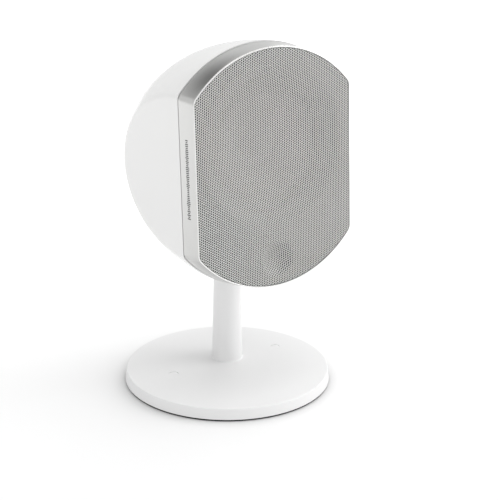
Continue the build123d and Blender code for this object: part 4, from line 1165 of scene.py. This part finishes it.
    def _trim(self, recipe: Recipe, geometry: Socket) -> Socket:
        """Draws what lies past the sheet's edge in to it, and drops the slivers.

        Args:
            recipe: The tree.
            geometry: The perforated sheet.

        Returns:
            The trimmed sheet.
        """
        graph = recipe.graph
        place, off = self._nearest(recipe, "Sheet")
        near_x, near_y, _ = graph.split(place)
        _, _, z = graph.position()
        drawn = graph.node("GeometryNodeSetPosition", None,
                           {"Geometry": geometry, "Selection": off > self.past_edge,
                            "Position": graph.join(near_x, near_y, z)})
        merged = graph.node("GeometryNodeMergeByDistance", None,
                            {"Geometry": drawn.outputs[0], "Distance": self.sliver_width})
        area = graph.number("GeometryNodeInputMeshFaceArea")
        kept = graph.node("GeometryNodeDeleteGeometry", {"domain": "FACE"},
                          {"Geometry": merged.outputs[0], "Selection": area < self.sliver_area})
        return kept.outputs[0]

    @staticmethod
    def _edge(recipe: Recipe, geometry: Socket) -> Socket:
        """Turns the sheet's edge back by its thickness.

        Args:
            recipe: The tree.
            geometry: The perforated sheet.

        Returns:
            The sheet with its turned edge.
        """
        graph = recipe.graph
        faces = graph.number("GeometryNodeInputMeshEdgeNeighbors")
        _, _, z = graph.position()
        thickness = recipe.given("Thickness")
        chosen = (faces < 1.5) * (z > thickness * -0.5)
        turned = graph.node("GeometryNodeExtrudeMesh", {"mode": "EDGES"},
                            {"Mesh": geometry, "Selection": chosen,
                             "Offset": graph.join(0.0, 0.0, 0.0 - thickness)})
        return turned.outputs["Mesh"]

    def build(self) -> bpy.types.Object:
        """Makes the grille and dresses it.

        Returns:
            The grille.
        """
        sheet = self.sheet()
        step = self.pitch * COLUMN_STEP
        stencil = self._stencil("sheet_stencil", sheet)
        values = {
            "Pitch": self.pitch, "Hole Radius": self.hole / 2 * HEXAGON_FOR_CIRCLE,
            "Thickness": self.thickness, "Recess": self.recess, "Soft": self.soft,
            "Woofer Height": self.woofer_height, "Woofer Radius": self.woofer_radius,
            "Woofer Sag": self.woofer_sag, "Tweeter Height": self.tweeter_height,
            "Tweeter Radius": self.tweeter_radius, "Tweeter Sag": self.tweeter_sag,
            "Columns": 2 * math.ceil(sheet.half_width / step) + 3,
            "Rows": 2 * math.ceil(sheet.radius / self.pitch) + 4,
            "Sheet": stencil, "Finish": GRILLE_SILVER.material(),
        }
        piece = self.recipe(values).make("perforated_grille")
        bpy.data.objects.remove(stencil)
        self.space.settle(piece)
        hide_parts("grille")
        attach(piece, "head")
        return piece


@dataclass
class LevelMark:
    """A printed row of little bars, like a level meter, along the left of the bezel."""

    space: HeadSpace
    bezel: Bezel
    depth: float = 10.5 * MM
    top: float = 32.0 * MM
    bottom: float = -31.0 * MM
    bars: int = 42
    bar_width: float = 0.95 * MM
    shortest: float = 0.4
    longest: float = 5.2 * MM
    ink: float = 0.03 * MM
    seed: int = 4
    end_corners: int = 12

    def recipe(self, values: dict[str, Any]) -> Recipe:
        """The tree that lays rounded bars of differing length along a line.

        Args:
            values: The value of each named input.

        Returns:
            The tree.
        """
        recipe = Recipe("level_bars", values)
        graph = recipe.graph
        line = graph.node("GeometryNodeMeshLine", {"mode": "OFFSET"},
                          {"Count": recipe.given("Bars"),
                           "Offset": graph.join(0.0, recipe.given("Step"), 0.0)})
        half = recipe.given("Width") * 0.5
        disc = graph.node("GeometryNodeMeshCircle", {"fill_type": "NGON"},
                          {"Vertices": self.end_corners, "Radius": half})
        x, _, _ = graph.position()
        reach = (recipe.given("Length") * 0.5 - half) * ((x > 0.0) * 2 - 1)
        bar = graph.node("GeometryNodeSetPosition", None,
                         {"Geometry": disc.outputs[0], "Offset": graph.join(reach, 0.0, 0.0)})
        length = graph.node("FunctionNodeRandomValue", {"data_type": "FLOAT"},
                            {2: recipe.given("Shortest"), 3: 1.0, "Seed": recipe.given("Seed")}).outputs[1]
        laid = graph.node("GeometryNodeInstanceOnPoints", None,
                          {"Points": line.outputs[0], "Instance": bar.outputs[0],
                           "Scale": graph.join(length, 1.0, 1.0)})
        real = graph.node("GeometryNodeRealizeInstances", None, {"Geometry": laid.outputs[0]})
        inked = graph.node("GeometryNodeExtrudeMesh", {"mode": "FACES"},
                           {"Mesh": real.outputs[0], "Offset Scale": recipe.given("Ink")})
        recipe.end(inked.outputs["Mesh"])
        return recipe

    def build(self) -> bpy.types.Object:
        """Prints the bars and dresses them.

        Returns:
            The row of bars.
        """
        values = {
            "Bars": self.bars, "Length": self.longest, "Step": (self.top - self.bottom) / (self.bars - 1),
            "Width": self.bar_width, "Shortest": self.shortest, "Ink": self.ink, "Seed": self.seed,
            "Finish": PRINT_GREY.material(),
        }
        piece = self.recipe(values).make("level_mark")
        for vertex in piece.data.vertices:
            along, up, rise = vertex.co
            depth = self.depth - along
            vertex.co = (-self.bezel.side_at(depth) - rise, self.bottom + up, -depth)
        self.space.settle(piece)
        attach(piece, "head")
        return piece


@dataclass
class CrossRecesses:
    """The cross recesses in the terminal plate's four screws, as thin dark insets on their heads: painted
    shade, dark crosses where the recesses' shade falls.
    """

    space: HeadSpace
    node: str = "terminal_screws"
    reach: float = 1.05 * MM
    half_arm: float = 0.24 * MM
    rise: float = 0.02 * MM
    root_share: float = 1.2
    tip_share: float = 0.8

    def places(self) -> list[Vector]:
        """Finds the middle of each screw head's face from the CAD screws.

        Returns:
            The four places, in the head's axes.
        """
        spots = self.space.places(self.node)
        middle = sum(spots, Vector()) / len(spots)
        back = min(spot.z for spot in spots)
        heads: dict[tuple[bool, bool], list[Vector]] = {}
        for spot in spots:
            heads.setdefault((spot.x > middle.x, spot.y > middle.y), []).append(spot)
        middles = [[(min(spot[i] for spot in head) + max(spot[i] for spot in head)) / 2 for i in range(2)]
                   for head in heads.values()]
        return [Vector((*flat, back)) for flat in middles]

    def _cross(self) -> list[Vector]:
        """Draws a cross with tapered arms.

        Returns:
            The points round it.
        """
        root, tip = self.half_arm * self.root_share, self.half_arm * self.tip_share
        points = []
        for quarter in range(4):
            turn = Matrix.Rotation(quarter * math.pi / 2, 2)
            points += [turn @ Vector(point)
                       for point in ((root, root), (tip, self.reach), (-tip, self.reach))]
        return points

    def build(self) -> bpy.types.Object:
        """Lays the crosses and dresses them in black, as painted shade for the recesses.

        Returns:
            The four crosses as one piece.
        """
        cross = self._cross()
        count = len(cross)
        vertices, faces = [], []
        for place in self.places():
            start = len(vertices)
            vertices += [(place.x + point.x, place.y + point.y, place.z - rise)
                         for rise in (0.0, self.rise) for point in cross]
            faces += [range(start, start + count), range(start + count, start + 2 * count)]
            faces += [(start + i, start + (i + 1) % count, start + count + (i + 1) % count, start + count + i)
                      for i in range(count)]
        piece = drawn_object("screw_crosses", vertices, faces)
        face_outwards(piece.data)
        # Painted shade: a black finish stands in for the shade inside the recesses.
        piece.data.materials.append(FINISHES["screw_black"].material())
        self.space.settle(piece)
        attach(piece, "head")
        return piece


# ---------------------------------------------------------------- studio
@dataclass
class Softbox:
    """A large soft light aimed at the object."""

    name: str
    place: tuple[float, float, float]
    size: tuple[float, float]
    power: float
    aim: tuple[float, float, float] = (0.0, 0.0, 0.15)

    def build(self) -> None:
        """Hangs the light."""
        data = bpy.data.lights.new(self.name, "AREA")
        data.shape = "RECTANGLE"
        data.size, data.size_y = self.size
        data.energy = self.power
        lamp = new_object(self.name, data)
        lamp.location = self.place
        lamp.rotation_euler = (Vector(self.aim) - Vector(self.place)).to_track_quat("-Z", "Y").to_euler()


@dataclass
class Studio:
    """The pale floor, the soft lights, the surroundings and the camera."""

    camera_place: tuple[float, float, float] = (-0.5779, -0.8723, 0.4710)
    camera_heading: float = 33.417
    camera_pitch: float = 17.16
    lens: float = 91.3
    sensor_width: float = 36.0
    shift: tuple[float, float] = (0.05, -0.08)
    floor_size: float = 14.0
    floor_squares: int = 8
    sky: float = 0.84
    screen_towards: tuple[float, float, float] = (-0.1, 0.6, 0.8)
    screen_core: float = 0.16
    screen_fade: float = 0.38
    screen_tone: float = 0.05
    lights: list[Softbox] = field(default_factory=lambda: [
        Softbox("key_softbox", (2.0, -1.2, 1.2), (1.6, 1.6), 22.0),
        Softbox("overhead_softbox", (0.2, 0.2, 2.4), (2.0, 2.0), 17.0),
        Softbox("back_softbox", (2.4, 1.3, 1.3), (2.0, 1.4), 7.0),
    ])

    def camera(self) -> None:
        """Sets up the camera."""
        data = bpy.data.cameras.new("camera")
        data.lens = self.lens
        data.sensor_width = self.sensor_width
        data.shift_x, data.shift_y = self.shift
        camera = new_object("camera", data)
        camera.location = self.camera_place
        heading, pitch = math.radians(self.camera_heading), math.radians(self.camera_pitch)
        level = math.cos(pitch)
        look = Vector((math.sin(heading) * level, math.cos(heading) * level, -math.sin(pitch)))
        camera.rotation_euler = look.to_track_quat("-Z", "Y").to_euler()
        bpy.context.scene.camera = camera

    def surroundings(self) -> None:
        """White all round, with one dark screen high behind the object."""
        world = bpy.data.worlds.new("studio")
        bpy.context.scene.world = world
        world.use_nodes = True
        world.node_tree.nodes.clear()
        graph = Graph(world.node_tree)
        direction = graph.node("ShaderNodeTexCoord").outputs["Generated"]
        off = graph.measure("DISTANCE", direction, self.screen_towards)
        screen = (1.0 - (off - self.screen_core) / self.screen_fade).clamped()
        tone = graph.blend(screen, WHITE, (self.screen_tone,) * 3)
        sky = graph.node("ShaderNodeBackground", None, {"Color": tone, "Strength": self.sky})
        graph.node("ShaderNodeOutputWorld", None, {"Surface": sky.outputs[0]})

    def floor(self) -> None:
        """The pale floor, just under the foot."""
        mesh = bpy.data.meshes.new("floor")
        work = bmesh.new()
        bmesh.ops.create_grid(work, x_segments=self.floor_squares, y_segments=self.floor_squares,
                              size=self.floor_size / 2)
        work.to_mesh(mesh)
        work.free()
        slab = new_object("floor", mesh)
        low, high = (Vector(corner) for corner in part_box("foot_pad"))
        foot = (low + high) / 2
        paint = FloorPaint("white_floor", (0.93, 0.93, 0.93), 0.7, foot=(foot.x, foot.y, 0.0),
                           foot_radius=(high.x - low.x) / 2)
        mesh.materials.append(paint.material())

    def build(self) -> None:
        """Makes the studio."""
        self.camera()
        self.surroundings()
        self.floor()
        for light in self.lights:
            light.build()
        bpy.context.scene.view_settings.view_transform = "Standard"


@dataclass(frozen=True)
class FloorPaint(Finish):
    """Matt white paint, with painted light: an emitted glow that brightens it towards the distance like a
    studio's lit cove.
    """

    # Painted light: how strongly the floor glows, where the glow starts, how far it grows and which side it
    # faces.
    glow: float = 0.42
    glow_start: float = 0.1
    glow_reach: float = 1.0
    glow_towards: tuple[float, float, float] = (0.5, 0.866, 0.0)
    glow_spread: float = 0.75
    foot: tuple[float, float, float] = (0.0, 0.0, 0.0)
    foot_radius: float = 0.1
    # Painted contact shadow: how far it reaches from the foot and how dark it gets.
    painted_shadow_reach: float = 15 * MM
    painted_shadow_depth: float = 0.26
    drift_size: float = 0.6
    drift_shade: float = 0.995

    def constants(self) -> Inputs:
        """Adds the glow's strength."""
        return {**super().constants(), "Emission Strength": 1.0}

    def dress(self, graph: Graph, place: Socket) -> Inputs:
        """A drift of tone, a painted contact shadow round the foot, and painted light: a glow that grows
        towards the back.

        Args:
            graph: The material's tree.
            place: The object's own coordinates.

        Returns:
            The shader's inputs that vary.
        """
        drift = graph.noise(place, self.drift_size)
        paint = graph.blend(drift, self.shade(self.drift_shade), self.colour)
        off = graph.measure("DISTANCE", place, self.foot)
        # Painted shadow: the floor's colour darkened round the foot, standing in for the contact shadow.
        near = (1 - (off - self.foot_radius) / self.painted_shadow_reach).clamped() ** 2.0
        # Painted light: the floor glows more with distance from the object and towards the back.
        distance = graph.measure("LENGTH", place)
        facing = (graph.along(place, self.glow_towards) / distance + self.glow_spread).clamped()
        far = ((distance - self.glow_start) / self.glow_reach).clamped() * facing
        return {"Base Color": graph.blend(near * self.painted_shadow_depth, paint, BLACK),
                "Emission Color": graph.blend(far, BLACK, (self.glow,) * 3)}


# ---------------------------------------------------------------- everything
def dress_nodes(nodes: dict[str, bpy.types.Object]) -> None:
    """Gives every CAD node the finish of its slot.

    Args:
        nodes: The CAD nodes by name.
    """
    for name, node in sorted(nodes.items()):
        for slot in node.material_slots:
            slot.material = FINISHES[slot.material.name].material()
        LOG.info("dressed %s", name)


def report(pieces: Iterable[bpy.types.Object]) -> None:
    """Logs each new piece with its number of triangles.

    Args:
        pieces: The new pieces.
    """
    for piece in pieces:
        triangles = sum(len(face.vertices) - 2 for face in piece.data.polygons)
        LOG.info("built %s: %d triangles", piece.name, triangles)


def main() -> None:
    """Builds every piece and the studio round them."""
    logging.basicConfig(level=logging.INFO, format="%(message)s")
    space = HeadSpace.from_frame()
    dress_nodes(frame["nodes"])
    bezel = Bezel(space)
    grille = Grille(space, bezel.pocket())
    report([bezel.build(), grille.build(), LevelMark(space, bezel).build(), CrossRecesses(space).build()])
    Studio().build()


if __name__ == "__main__":
    main()
